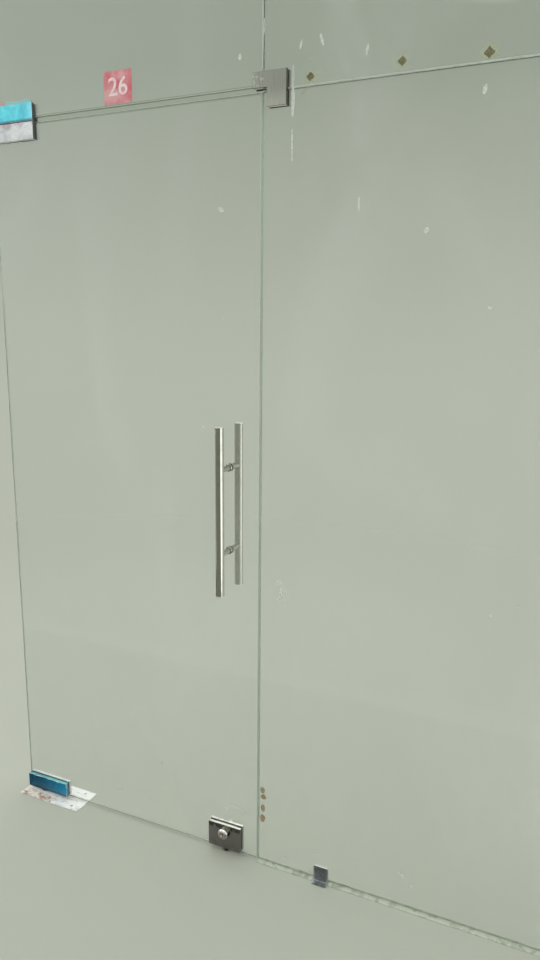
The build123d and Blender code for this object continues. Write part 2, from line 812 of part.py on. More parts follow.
with BuildPart() as handle_standoffs:
    for side in (-1, 1):
        for height in standoff_heights:
            with BuildSketch(Plane(origin=(handle_x, 0, height), x_dir=(1, 0, 0), z_dir=(0, 0, side))):
                with BuildLine():
                    Polyline(
                        (0, standoff_foot),
                        (standoff_flange_radius, standoff_foot),
                        (standoff_flange_radius, standoff_foot + standoff_flange - standoff_edge),
                        (standoff_flange_radius - standoff_edge, standoff_foot + standoff_flange),
                        (standoff_radius, standoff_foot + standoff_flange),
                        (standoff_radius, handle_axis_depth),
                        (0, handle_axis_depth),
                        close=True,
                    )
                make_face()
            revolve(axis=Axis((handle_x, 0, height), (0, 1, 0)))
    for side in (-1, 1):
        with BuildSketch(Plane.XY.offset(handle_centre_height - handle_length / 2)):
            with Locations((handle_x, side * handle_axis_depth)):
                Circle(tube_radius + seat_room)
        extrude(amount=handle_length, mode=Mode.SUBTRACT)
        for height in standoff_heights:
            root = (handle_x, side * standoff_foot, height)
            with BuildSketch(Plane(origin=root, x_dir=(1, 0, 0), z_dir=(0, side, 0))):
                Circle(handle_bolt_radius + seat_room)
            extrude(amount=handle_bolt_bite + screw_room, mode=Mode.SUBTRACT)
            with BuildSketch(Plane.XY.offset(height)):
                with Locations((handle_x, side * (standoff_foot + grub_from_flange))):
                    Circle(grub_radius + seat_room)
            extrude(amount=-standoff_radius, mode=Mode.SUBTRACT)

with BuildPart() as handle_washers:
    for side in (-1, 1):
        for height in standoff_heights:
            face = Plane(origin=(handle_x, side * glass_face, height), x_dir=(1, 0, 0), z_dir=(0, side, 0))
            with BuildSketch(face):
                Circle(standoff_flange_radius)
                Circle(handle_bolt_radius + seat_room, mode=Mode.SUBTRACT)
            extrude(amount=washer_thickness)
            with BuildSketch(face):
                Circle(handle_hole_radius - seat_room)
                Circle(handle_bolt_radius + seat_room, mode=Mode.SUBTRACT)
            extrude(amount=-(glass_face - screw_room))

with BuildPart() as handle_bolts:
    reach = standoff_foot + handle_bolt_bite
    with BuildSketch(facing(reach)):
        with Locations(*[(handle_x, height) for height in standoff_heights]):
            Circle(handle_bolt_radius)
    extrude(amount=2 * reach)

with BuildPart() as handle_grub_screws:
    for side in (-1, 1):
        for height in standoff_heights:
            with BuildSketch(Plane.XY.offset(height - handle_bolt_radius - seat_room)):
                with Locations((handle_x, side * (standoff_foot + grub_from_flange))):
                    Circle(grub_radius)
            extrude(amount=-(standoff_radius - handle_bolt_radius - seat_room - screw_room))

# Floor lock: a case in the glass cut-out, plates on both faces, a bolt that a crank drives down
lock_outer = plate_face + lock_plate
lock_middle = middle(lock_bottom, lock_top)
cavity_bottom = lock_bottom + lock_cavity_bottom
cavity_top = lock_case_top - lock_case_wall
cavity_height = cavity_top - cavity_bottom
bolt_slot_half = crank_pin_radius + bolt_slot_room
bolt_head_half = bolt_slot_half + bolt_head_rim
crank_level = cavity_top - bolt_top_room - bolt_head_half
lock_axis = crank_level - crank_radius
web_start = plate_face + crank_web_room
web_radius = crank_radius + crank_pin_radius + crank_web_room
lock_screw_places = [
    (lock_x + side * (lock_case_width / 2 - lock_screw_side), level)
    for side in (-1, 1)
    for level in (lock_bottom + lock_screw_bottom, lock_case_top - lock_screw_top)
]

with BuildPart() as lock_case:
    with BuildSketch(facing(lock_outer)):
        with Locations((lock_x, lock_middle)):
            Rectangle(lock_width, lock_height)
    extrude(amount=lock_plate)
    chamfer(lock_case.faces().sort_by(Axis.Y)[-1].edges(), lock_edge)
    with BuildSketch(facing(lock_outer + lock_back_boss_height)):
        with Locations((lock_x, lock_axis)):
            Circle(lock_boss_radius)
    extrude(amount=lock_back_boss_height)
    chamfer(lock_case.faces().sort_by(Axis.Y)[-1].edges(), lock_boss_edge)
    with BuildSketch(facing(plate_face)):
        with Locations((lock_x, middle(lock_bottom, lock_case_top))):
            RectangleRounded(lock_case_width, lock_case_top - lock_bottom, lock_case_radius)
        with Locations((lock_x, middle(cavity_bottom, cavity_top))):
            RectangleRounded(lock_cavity_width, cavity_height, lock_cavity_radius, mode=Mode.SUBTRACT)
    extrude(amount=2 * plate_face)
    with BuildSketch(facing(plate_face + crank_web + 2 * crank_web_room)):
        with Locations((lock_x, lock_axis)):
            Circle(web_radius + crank_web_room)
    extrude(amount=crank_web + 2 * crank_web_room, mode=Mode.SUBTRACT)
    with BuildSketch(facing(lock_outer + lock_back_boss_height)):
        with Locations((lock_x, lock_axis)):
            Circle(plug_radius + running_room)
    extrude(amount=lock_plate + lock_back_boss_height, mode=Mode.SUBTRACT)
    with BuildSketch(facing(lock_outer - lock_screw_radius)):
        with Locations(*lock_screw_places):
            Circle(lock_screw_radius + seat_room)
    extrude(amount=2 * lock_outer, mode=Mode.SUBTRACT)
    with BuildSketch(Plane.XY.offset(lock_bottom)):
        with Locations((lock_x, 0)):
            Circle(bolt_radius + running_room)
    extrude(amount=lock_cavity_bottom + bolt_radius, mode=Mode.SUBTRACT)
    with BuildSketch(Plane.XY.offset(cavity_bottom)):
        with Locations((lock_x, 0)):
            Circle(bolt_radius + bolt_side_room)
    extrude(amount=cavity_height, mode=Mode.SUBTRACT)

with BuildPart() as lock_front_plate:
    with BuildSketch(facing(-plate_face)):
        with Locations((lock_x, lock_middle)):
            Rectangle(lock_width, lock_height)
    extrude(amount=lock_plate)
    chamfer(lock_front_plate.faces().sort_by(Axis.Y)[0].edges(), lock_edge)
    with BuildSketch(facing(-lock_outer)):
        with Locations((lock_x, lock_axis)):
            Circle(lock_boss_radius)
    extrude(amount=lock_boss_height)
    fillet(lock_front_plate.faces().sort_by(Axis.Y)[0].edges(), lock_boss_edge)
    with BuildSketch(facing(-plate_face)):
        with Locations((lock_x, lock_axis)):
            Circle(web_radius + crank_web_room)
    extrude(amount=crank_web + 2 * crank_web_room, mode=Mode.SUBTRACT)
    with BuildSketch(facing(-plate_face)):
        with Locations((lock_x, lock_axis)):
            Circle(plug_radius + running_room)
    extrude(amount=lock_plate + lock_boss_height, mode=Mode.SUBTRACT)
    with BuildSketch(Plane.XY.offset(lock_bottom)):
        with Locations((lock_x, 0)):
            Circle(bolt_radius + bolt_side_room)
    extrude(amount=lock_height, mode=Mode.SUBTRACT)
    with Locations(*[Location((x, -lock_outer, z), (90, 0, 0)) for x, z in lock_screw_places]):
        CounterSinkHole(lock_screw_radius + screw_room, lock_screw_head, depth=lock_plate)

with BuildPart() as lock_gaskets:
    for start in (plate_face, -glass_face):
        with BuildSketch(facing(start)):
            with Locations((lock_x, lock_middle)):
                Rectangle(lock_width, lock_height)
            with Locations((lock_x, middle(lock_bottom - overrun, case_cut_top))):
                RectangleRounded(
                    2 * case_half, case_cut_top - lock_bottom + overrun, case_cut_radius, mode=Mode.SUBTRACT
                )
        extrude(amount=gasket_thickness)

lock_screw = countersunk(
    lock_outer, 2 * lock_screw_radius - lock_outer, lock_screw_head - screw_room, lock_screw_radius
)

with BuildPart() as lock_screws:
    for x, z in lock_screw_places:
        with BuildSketch(Plane(origin=(x, 0, z), x_dir=(0, 0, 1), z_dir=(1, 0, 0))):
            with BuildLine():
                Polyline(*lock_screw, close=True)
            make_face()
        revolve(axis=Axis((x, 0, z), (0, 1, 0)))

bolt_tip = lock_bottom - bolt_proud

with BuildPart() as lock_bolt:
    with BuildSketch(Plane.XY.offset(bolt_tip)):
        with Locations((lock_x, 0)):
            Circle(bolt_radius)
    extrude(amount=crank_level - bolt_head_half - bolt_tip)
    chamfer(lock_bolt.edges().group_by(Axis.Z)[0], bolt_point)
    with BuildSketch(facing(plate_face - bolt_side_room)):
        with Locations((lock_x, crank_level)):
            Rectangle(bolt_head_width, 2 * bolt_head_half)
            Rectangle(2 * web_radius, 2 * bolt_slot_half, mode=Mode.SUBTRACT)
    extrude(amount=2 * (plate_face - bolt_side_room))

front_face = lock_outer + lock_boss_height + plug_stand
back_face = lock_outer + lock_back_boss_height

with BuildPart() as lock_cylinder:
    with BuildSketch(facing(-web_start)):
        with Locations((lock_x, lock_axis)):
            Circle(plug_radius)
    extrude(amount=front_face - web_start)
    with BuildSketch(facing(-front_face + key_slot_depth)):
        with Locations((lock_x, lock_axis)):
            Rectangle(key_slot_width, key_slot_height)
    extrude(amount=key_slot_depth, mode=Mode.SUBTRACT)
    for start in (web_start + crank_web, -web_start):
        with BuildSketch(facing(start)):
            with Locations((lock_x, lock_axis)):
                Circle(web_radius)
        extrude(amount=crank_web)
    with BuildSketch(facing(web_start)):
        with Locations((lock_x, crank_level)):
            Circle(crank_pin_radius)
    extrude(amount=2 * web_start)
    with BuildSketch(facing(back_face + turn_gap)):
        with Locations((lock_x, lock_axis)):
            Circle(plug_radius)
    extrude(amount=back_face + turn_gap - web_start)

with BuildPart() as thumb_turn:
    with BuildSketch(facing(back_face + turn_gap + turn_height)):
        with Locations((lock_x, lock_axis)):
            SlotOverall(turn_length, turn_width, rotation=90)
    extrude(amount=turn_height)
    chamfer(thumb_turn.faces().sort_by(Axis.Y)[-1].edges(), lock_edge)

strike_bore_radius = bolt_radius + strike_room
strike_cup_radius = strike_bore_radius + strike_wall

with BuildPart() as bolt_strike:
    with BuildSketch():
        with Locations((lock_x, 0)):
            Circle(strike_cup_radius + strike_rim)
    extrude(amount=strike_flange)
    chamfer(bolt_strike.edges().group_by(Axis.Z)[-1], strike_flange / 2)
    with BuildSketch():
        with Locations((lock_x, 0)):
            Circle(strike_cup_radius)
    extrude(amount=-strike_depth)
    with BuildSketch(Plane.XY.offset(strike_flange)):
        with Locations((lock_x, 0)):
            Circle(strike_bore_radius)
    extrude(amount=-(strike_flange + strike_depth - strike_floor), mode=Mode.SUBTRACT)

# Clip that ties the sidelight's foot to the floor
clip_face = glass_face + clip_pad
clip_screw_place = (middle(clip_left, clip_right), -(clip_face + clip_sheet + (clip_foot - clip_sheet) / 2))

with BuildPart() as floor_clip:
    with BuildSketch(Plane.YZ.offset(clip_left)):
        with BuildLine():
            FilletPolyline(
                (-clip_face - clip_foot, clip_sheet / 2),
                (-clip_face - clip_sheet / 2, clip_sheet / 2),
                (-clip_face - clip_sheet / 2, clip_height),
                radius=clip_bend + clip_sheet / 2,
            )
        trace(line_width=clip_sheet)
    extrude(amount=clip_width)
    fillet(floor_clip.edges().filter_by(Axis.Y).group_by(Axis.Z)[-1], clip_corner)
    with Locations((*clip_screw_place, clip_sheet)):
        CounterSinkHole(clip_screw_radius + screw_room, clip_screw_head, depth=clip_sheet)

with BuildPart() as floor_clip_pad:
    with BuildSketch(facing(-glass_face)):
        with Locations((middle(clip_left, clip_right), middle(0, clip_height - clip_corner))):
            Rectangle(clip_width - clip_corner, clip_height - clip_corner)
    extrude(amount=clip_pad)

clip_screw = countersunk(
    clip_sheet, clip_sheet - clip_screw_length, clip_screw_head - screw_room, clip_screw_radius
)

with BuildPart() as floor_clip_screw:
    with BuildSketch(Plane(origin=(*clip_screw_place, 0), x_dir=(1, 0, 0), z_dir=(0, -1, 0))):
        with BuildLine():
            Polyline(*clip_screw, close=True)
        make_face()
    revolve(axis=Axis((*clip_screw_place, 0), (0, 0, 1)))

with BuildPart() as number_sticker:
    with BuildSketch(facing(-glass_face)):
        with Locations((sticker_left, overpanel_bottom + sticker_lift)):
            RectangleRounded(
                sticker_width, sticker_height, sticker_corner, align=(Align.MIN, Align.MIN)
            )
    extrude(amount=sticker_thickness)

pieces = {
    "door_glass": door_glass,
    "overpanel_glass": overpanel_glass,
    "sidelight_lower_glass": sidelight_lower_glass,
    "sidelight_upper_glass": sidelight_upper_glass,
    "ceiling_channel": ceiling_channel,
    "overpanel_wall_channel": overpanel_wall_channel,
    "sidelight_wall_channel": sidelight_wall_channel,
    "floor_channel": floor_channel,
    "glazing_strips": glazing_strips,
    "setting_blocks": setting_blocks,
    "joint_silicone": joint_silicone,
    "floor_silicone": floor_silicone,
    "corner_patch_front": corner_patch_front,
    "corner_patch_back": corner_patch_back,
    "corner_patch_gaskets": corner_patch_gaskets,
    "corner_patch_screws": corner_patch_screws,
    "overpanel_patch_body": overpanel_patch_body,
    "overpanel_patch_clamp": overpanel_patch_clamp,
    "overpanel_patch_covers": overpanel_patch_covers,
    "overpanel_patch_gaskets": overpanel_patch_gaskets,
    "overpanel_patch_screws": overpanel_patch_screws,
    "overpanel_patch_film": overpanel_patch_film,
    "top_pivot_pin": top_pivot_pin,
    "floor_box": floor_box,
    "closer_body": closer_body,
    "closer_valve_screws": closer_valve_screws,
    "cover_plate": cover_plate,
    "cover_plate_screws": cover_plate_screws,
    "bolt_strike": bolt_strike,
    "floor_clip": floor_clip,
    "floor_clip_pad": floor_clip_pad,
    "floor_clip_screw": floor_clip_screw,
    "number_sticker": number_sticker,
    "bottom_patch_body": bottom_patch_body,
    "bottom_patch_clamp": bottom_patch_clamp,
    "bottom_patch_covers": bottom_patch_covers,
    "bottom_patch_gaskets": bottom_patch_gaskets,
    "bottom_patch_film": bottom_patch_film,
    "bottom_patch_socket": bottom_patch_socket,
    "closer_spindle": closer_spindle,
    "top_patch_body": top_patch_body,
    "top_patch_clamp": top_patch_clamp,
    "top_patch_covers": top_patch_covers,
    "top_patch_gaskets": top_patch_gaskets,
    "top_patch_bush": top_patch_bush,
    "leaf_patch_screws": leaf_patch_screws,
    "handle_tube_front": handle_tube_front,
    "handle_tube_back": handle_tube_back,
    "handle_end_caps": handle_end_caps,
    "handle_standoffs": handle_standoffs,
    "handle_washers": handle_washers,
    "handle_bolts": handle_bolts,
    "handle_grub_screws": handle_grub_screws,
    "lock_case": lock_case,
    "lock_front_plate": lock_front_plate,
    "lock_gaskets": lock_gaskets,
    "lock_screws": lock_screws,
    "lock_bolt": lock_bolt,
    "lock_cylinder": lock_cylinder,
    "thumb_turn": thumb_turn,
}
for name, piece in pieces.items():
    piece.part.label = name
    export_step(piece.part, f"parts/{name}.step")
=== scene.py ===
import math

import bmesh
import bpy
from bpy.props import FloatProperty, FloatVectorProperty, IntProperty, PointerProperty, StringProperty
from mathutils import Matrix, Vector, noise


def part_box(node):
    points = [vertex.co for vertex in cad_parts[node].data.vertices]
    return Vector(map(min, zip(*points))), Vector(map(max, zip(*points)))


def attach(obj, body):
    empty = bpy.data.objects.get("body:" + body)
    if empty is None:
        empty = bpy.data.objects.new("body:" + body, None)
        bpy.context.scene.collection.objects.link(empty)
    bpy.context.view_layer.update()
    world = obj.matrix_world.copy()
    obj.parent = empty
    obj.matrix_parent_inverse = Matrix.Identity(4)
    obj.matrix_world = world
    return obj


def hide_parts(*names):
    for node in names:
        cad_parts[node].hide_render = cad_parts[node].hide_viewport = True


# Looks of a frameless glass entrance: a swinging leaf, the pane above it, a sidelight in two panes,
# their clamping fittings, handles and lock, and what the fitters left on them. Lengths are in metres.

bl_info = {
    "name": "Glass Entrance",
    "version": (1, 0, 0),
    "blender": (4, 5, 0),
    "location": "View3D > Sidebar > Entrance",
    "description": "Finishes a frameless glass entrance and builds its studio",
    "category": "Object",
}

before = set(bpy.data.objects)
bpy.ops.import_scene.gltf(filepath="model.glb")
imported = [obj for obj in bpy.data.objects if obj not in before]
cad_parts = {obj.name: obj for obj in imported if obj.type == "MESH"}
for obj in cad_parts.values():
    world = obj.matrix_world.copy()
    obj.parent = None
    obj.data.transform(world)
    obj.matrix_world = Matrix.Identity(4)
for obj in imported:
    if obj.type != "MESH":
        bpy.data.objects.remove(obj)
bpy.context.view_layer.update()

MM = 0.001
PANES = ("door_glass", "overpanel_glass", "sidelight_lower_glass", "sidelight_upper_glass")
CHANNELS = ("ceiling_channel", "overpanel_wall_channel", "sidelight_wall_channel", "floor_channel")
glass_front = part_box("door_glass")[0].y
sidelight_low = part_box("sidelight_lower_glass")[0]


# Sizes and colours that a user would change
def tint(name, description, default):
    return FloatVectorProperty(
        name=name, description=description, subtype="COLOR", size=3, min=0, max=1, default=default
    )


def size(name, description, default):
    return FloatProperty(
        name=name, description=description, subtype="DISTANCE", unit="LENGTH", default=default
    )


def share(name, description, default):
    return FloatProperty(
        name=name, description=description, subtype="FACTOR", min=0, max=1, default=default
    )


class EntranceGlassSettings(bpy.types.PropertyGroup):
    """Panes, channels and sealant."""

    clear: tint("Clear", "What a pane's face lets through", (0.955, 0.968, 0.95))
    arris: tint("Arris", "The narrow ground band round each face", (0.6, 0.67, 0.59))
    edge: tint("Edge", "Clean cut edges, with a little of the glass's green", (0.62, 0.71, 0.62))
    # Painted shade: the colour of the level edges of the door and the pane above it, darkened for the shadow
    # in the gaps
    gap_shade: tint("Grime", "Level edges that hold the dirt", (0.16, 0.21, 0.16))
    # Painted shade: how wide the darkened ground band along those level edges is
    gap_shade_width: size("Arris width", "Width of the ground band", 5 * MM)
    haze: share("Haze", "Roughness of wiped dust on the faces", 0.05)
    veil: share("Veil", "How much fine dust hides everywhere", 0.045)
    smear: share("Smear", "How much more the dustiest places hide", 0.08)
    sealant: tint("Sealant", "Beads at the sidelight's foot", (0.5, 0.55, 0.44))
    aluminium: tint("Aluminium", "Anodised channels", (0.6, 0.61, 0.61))


class EntranceMetalSettings(bpy.types.PropertyGroup):
    """Fittings, handles and lock."""

    satin: tint("Satin steel", "Covers and plates", (0.9, 0.92, 0.9))
    polished: tint("Polished steel", "Handles, corner fitting and lock", (0.67, 0.66, 0.61))
    # The plates' dark cut ends are painted shade
    cut: share("Cut edges", "How bright the plates' cut ends are beside their faces", 0.22)
    satin_roughness: share("Satin roughness", "Roughness of brushed steel", 0.3)
    satin_metallic: share("Satin metal", "How much of the brushed steel is bare of dust", 0.65)
    polished_roughness: share("Polished roughness", "Roughness of polished steel", 0.08)
    brass: tint("Nickelled brass", "The lock's plug", (0.7, 0.66, 0.55))


class EntranceFilmSettings(bpy.types.PropertyGroup):
    """Protective film that was left on the fittings."""

    # The same blue film on both fittings: the upper colour is painted light, the lower one painted shade
    pale: tint("Upper film", "Film on the upper fitting", (0.15, 0.8, 1.0))
    deep: tint("Lower film", "Film on the lower fitting", (0.0, 0.075, 0.14))
    thickness: size("Thickness", "Thickness of the film", 0.15 * MM)
    crease: size("Crease", "How far the creases stand off", 0.5 * MM)
    flap: size("Flap", "How far the upper film stands over its fitting", 8 * MM)
    fold: size("Fold", "How far the lower film folds over its fitting", 10.2 * MM)


class EntranceTraceSettings(bpy.types.PropertyGroup):
    """What the fitters left on the panes and the floor plate."""

    number: StringProperty(name="Number", description="Plain number on the sticker", default="26")
    number_height: size("Number height", "Height of the digits", 46 * MM)
    vinyl: tint("Vinyl", "The sticker's red", (0.66, 0.16, 0.18))
    speck_density: FloatProperty(
        name="Specks", description="Specks for each square metre of glass", min=0, default=55.0
    )
    speck_size: size("Speck size", "Largest speck", 2.2 * MM)
    crumb_density: FloatProperty(
        name="Crumbs", description="Mortar crumbs for each square metre", min=0, default=60000.0
    )
    crumb_size: size("Crumb size", "Largest crumb", 4.5 * MM)
    seed: IntProperty(name="Seed", description="Seed of what is scattered", default=7)


class EntranceStudioSettings(bpy.types.PropertyGroup):
    """Floor, backdrop, lamps and camera."""

    floor: tint("Floor", "Floor, and the backdrop down to the horizon", (0.47, 0.5, 0.42))
    upper: tint("Upper backdrop", "The backdrop high up", (0.295, 0.333, 0.27))
    mirrored: tint("Mirrored floor", "What polished steel mirrors of the floor in front", (0.2, 0.22, 0.17))
    window: tint("Mirrored window", "What the panes mirror at the left in front", (0.82, 0.86, 0.88))
    sky: share("Sky", "Strength of the world", 0.7)
    lens: FloatProperty(name="Lens", description="Focal length", subtype="DISTANCE_CAMERA", default=28.136)


def feed(tree, socket, value):
    """Sets an input to a number, a colour or a material, or links it to another node's output."""
    if isinstance(value, bpy.types.NodeSocket):
        tree.links.new(value, socket)
    else:
        socket.default_value = (*value, 1) if socket.type == "RGBA" else value


class Finish:
    """A material with one Principled shader, and the nodes that feed it."""

    def __init__(self, name, base, roughness, metallic=0.0):
        self.material = bpy.data.materials.new(name)
        self.material.use_nodes = True
        self.tree = self.material.node_tree
        self.tree.nodes.clear()
        self.output = self.add("ShaderNodeOutputMaterial")
        self.shader = self.add("ShaderNodeBsdfPrincipled")
        self.link(self.shader.outputs["BSDF"], self.output.inputs["Surface"])
        self.inputs = self.shader.inputs
        self.inputs["Base Color"].default_value = (*base, 1)
        self.inputs["Roughness"].default_value = roughness
        self.inputs["Metallic"].default_value = metallic
        self.coordinates = self.add("ShaderNodeTexCoord").outputs

    def add(self, kind, **values):
        node = self.tree.nodes.new(kind)
        for key, value in values.items():
            setattr(node, key, value)
        return node

    def link(self, source, target):
        self.tree.links.new(source, target)

    def paint(self, value, start, end, first, second):
        """Colours the finish from one colour to another as a value rises."""
        self.link(self.mixed(self.ranged(value, start, end), first, second), self.inputs["Base Color"])

    def dull(self, value, start, end, low, high):
        """Lets the roughness rise with a value."""
        self.link(self.ranged(value, start, end, low, high), self.inputs["Roughness"])

    def cloud(self, scale, detail=4.0, stretch=(1, 1, 1), turn=(0, 0, 0), distortion=0.0):
        """Noise over the piece's own coordinates, about 0.3 to 0.7."""
        placed = self.add("ShaderNodeMapping")
        placed.inputs["Scale"].default_value = stretch
        placed.inputs["Rotation"].default_value = turn
        self.link(self.coordinates["Object"], placed.inputs["Vector"])
        spread = self.add("ShaderNodeTexNoise")
        spread.inputs["Scale"].default_value = scale
        spread.inputs["Detail"].default_value = detail
        spread.inputs["Distortion"].default_value = distortion
        self.link(placed.outputs["Vector"], spread.inputs["Vector"])
        return spread.outputs["Fac"]

    def along(self, axis):
        """One of the piece's own coordinates."""
        split = self.add("ShaderNodeSeparateXYZ")
        self.link(self.coordinates["Object"], split.inputs["Vector"])
        return split.outputs[axis]

    def facing(self, axis):
        """How squarely the surface faces along an axis, from 0 to 1."""
        split = self.add("ShaderNodeSeparateXYZ")
        self.link(self.coordinates["Normal"], split.inputs["Vector"])
        return self.maths("ABSOLUTE", split.outputs[axis])

    def ranged(self, value, start, end, low=0.0, high=1.0):
        """A value taken from one range to another, and held within it."""
        node = self.add("ShaderNodeMapRange")
        self.link(value, node.inputs["Value"])
        for name, number in (("From Min", start), ("From Max", end), ("To Min", low), ("To Max", high)):
            node.inputs[name].default_value = number
        return node.outputs["Result"]

    def maths(self, operation, *values):
        node = self.add("ShaderNodeMath", operation=operation)
        for place, value in enumerate(values):
            feed(self.tree, node.inputs[place], value)
        return node.outputs["Value"]

    def from_middle(self, axis, low, high):
        """How far a place is from the middle of a stretch along an axis."""
        return self.maths("ABSOLUTE", self.maths("SUBTRACT", self.along(axis), (low + high) / 2))

    def distance(self, place):
        """How far the surface is from a place."""
        node = self.add("ShaderNodeVectorMath", operation="DISTANCE")
        self.link(self.coordinates["Object"], node.inputs[0])
        node.inputs[1].default_value = place
        return node.outputs["Value"]

    def mixed(self, factor, first, second):
        """A colour between two, each a colour or a socket."""
        node = self.add("ShaderNodeMix", data_type="RGBA")
        self.link(factor, node.inputs["Factor"])
        feed(self.tree, node.inputs[6], first)
        feed(self.tree, node.inputs[7], second)
        return node.outputs[2]

    def bump(self, height, distance, strength=1.0):
        node = self.add("ShaderNodeBump")
        node.inputs["Distance"].default_value = distance
        node.inputs["Strength"].default_value = strength
        self.link(height, node.inputs["Height"])
        self.link(node.outputs["Normal"], self.inputs["Normal"])

    def see_through(self, colour):
        """Lets lamps shine through, so that the shadow is as pale as the piece."""
        clear = self.add("ShaderNodeBsdfTransparent")
        clear.inputs["Color"].default_value = (*colour, 1)
        self.blend(self.add("ShaderNodeLightPath").outputs["Is Shadow Ray"], clear.outputs["BSDF"])

    def blend(self, factor, other):
        """Mixes another shader with the finish's own."""
        either = self.add("ShaderNodeMixShader")
        self.link(factor, either.inputs["Fac"])
        self.link(self.shader.outputs["BSDF"], either.inputs[1])
        self.link(other, either.inputs[2])
        self.link(either.outputs["Shader"], self.output.inputs["Surface"])


def shade(colour, factor):
    """A lighter or darker version of a colour."""
    return tuple(min(1.0, part * factor) for part in colour)


def dress(finish, *nodes):
    """Gives CAD nodes a finish through their material slots."""
    for node in nodes:
        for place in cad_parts[node].material_slots:
            place.material = finish.material


def add_piece(name, mesh, body, slot, *finishes, replaces=()):
    """Puts a finished mesh into the scene, on its body. The slot is not used."""
    piece = bpy.data.objects.new(name, mesh)
    bpy.context.scene.collection.objects.link(piece)
    for finish in finishes:
        piece.data.materials.append(finish.material)
    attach(piece, body)
    if replaces:
        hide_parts(*replaces)
    return piece


def mesh_from(bm, name, smooth=False):
    bmesh.ops.recalc_face_normals(bm, faces=bm.faces)
    for face in bm.faces:
        face.smooth = smooth
    mesh = bpy.data.meshes.new(name)
    bm.to_mesh(mesh)
    bm.free()
    return mesh


def closed_sheet(bm, columns, rows, outer, inner, keep=None):
    """A closed sheet over a grid. Outer and inner give its two faces, for places from 0 to 1."""
    cells = [(c, r) for c in range(columns) for r in range(rows)]
    if keep:
        cells = [(c, r) for c, r in cells if keep((c + 0.5) / columns, (r + 0.5) / rows)]
    kept = set(cells)
    made = {}

    def vertex(face, place):
        if (face, place) not in made:
            made[face, place] = bm.verts.new(face(place[0] / columns, place[1] / rows))
        return made[face, place]

    for c, r in cells:
        corners = [(c, r), (c + 1, r), (c + 1, r + 1), (c, r + 1)]
        beyond = [(c, r - 1), (c + 1, r), (c, r + 1), (c - 1, r)]
        bm.faces.new([vertex(outer, place) for place in corners])
        bm.faces.new([vertex(inner, place) for place in reversed(corners)])
        for side, neighbour in enumerate(beyond):
            if neighbour not in kept:
                a, b = corners[side], corners[(side + 1) % 4]
                bm.faces.new([vertex(outer, b), vertex(outer, a), vertex(inner, a), vertex(inner, b)])


def join_rings(bm, first, second):
    """Faces between two closed rings of vertices."""
    for place in range(len(first)):
        after = (place + 1) % len(first)
        bm.faces.new([first[place], first[after], second[after], second[place]])


def corners_of(points):
    """The low and high corners of the box round some points."""
    return [Vector([pick(point[i] for point in points) for i in range(3)]) for pick in (min, max)]


def ripple(x, z, scale, seed):
    """Smooth noise from -1 to 1 over two lengths."""
    return noise.noise(Vector((x * scale, z * scale, seed)))


def ramp(value, start, end):
    """0 before start, 1 after end and smooth between."""
    t = min(1.0, max(0.0, (value - start) / (end - start)))
    return t * t * (3 - 2 * t)


# Finishes
def pane_finish(settings, pane):
    """Clear float glass: greener where its edges are ground, dusty and wiped on its faces. On the door and
    the pane above it, the level edges and a wider ground band beside them are darkened as painted shade of
    the gaps.
    """
    finish = Finish(f"{pane} clear glass", settings.clear, 0.0)
    face = finish.ranged(finish.facing("Y"), 0.8, 0.9)
    low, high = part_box(pane)
    fixed_side = pane.startswith("sidelight")
    narrow = 1.5 * MM
    # On the door and the pane above it the band along the level edges is widened as painted shade of the gaps
    level_band = narrow if fixed_side else settings.gap_shade_width
    near_edge = []
    for axis, start, end, band in (("X", low.x, high.x, narrow), ("Z", low.z, high.z, level_band)):
        half = (end - start) / 2
        near_edge.append(finish.ranged(finish.from_middle(axis, start, end), half - band, half - 0.6 * band))
    ground = finish.maths("MAXIMUM", *near_edge)
    flat = finish.mixed(ground, settings.clear, settings.arris)
    level = settings.edge if fixed_side else settings.gap_shade
    edge = finish.mixed(finish.ranged(finish.facing("Z"), 0.8, 0.9), settings.edge, level)
    finish.link(finish.mixed(face, edge, flat), finish.inputs["Base Color"])
    wiped = finish.cloud(2.2, 6.0, stretch=(1, 1, 0.55), turn=(0, 0.6, 0), distortion=1.6)
    fine = finish.ranged(finish.cloud(38.0, 5.0), 0.3, 0.7, 0.4, 1.0)
    dust = finish.maths("MULTIPLY", finish.ranged(wiped, 0.45, 0.75), fine)
    seen = finish.maths("SUBTRACT", 1.0 - settings.veil, finish.maths("MULTIPLY", dust, settings.smear))
    edge_seen, edge_roughness, ground_roughness = 0.3, 0.3, 0.12
    seen = finish.maths("MULTIPLY", seen, finish.ranged(face, 0.0, 1.0, edge_seen, 1.0))
    finish.link(seen, finish.inputs["Transmission Weight"])
    rough = finish.ranged(face, 0.0, 1.0, edge_roughness, 0.0)
    rough = finish.maths("ADD", finish.maths("MULTIPLY", dust, settings.haze), rough)
    rough = finish.maths("ADD", rough, finish.maths("MULTIPLY", ground, ground_roughness))
    finish.link(rough, finish.inputs["Roughness"])
    finish.inputs["IOR"].default_value = 1.5
    finish.see_through(shade(settings.clear, 0.97))
    return finish


def shade_cut_ends(finish, colour, settings):
    """Paints shade on a front plate's cut ends beside its finished face, less on ends behind the glass. Gives
    the new colour.
    """
    end = finish.ranged(finish.facing("X"), 0.85, 0.95)
    in_front = finish.ranged(finish.along("Y"), 0.0, 1 * MM, 1.0, 0.25)
    cut = finish.maths("MULTIPLY", end, in_front)
    return finish.mixed(cut, colour, shade(settings.polished, settings.cut))


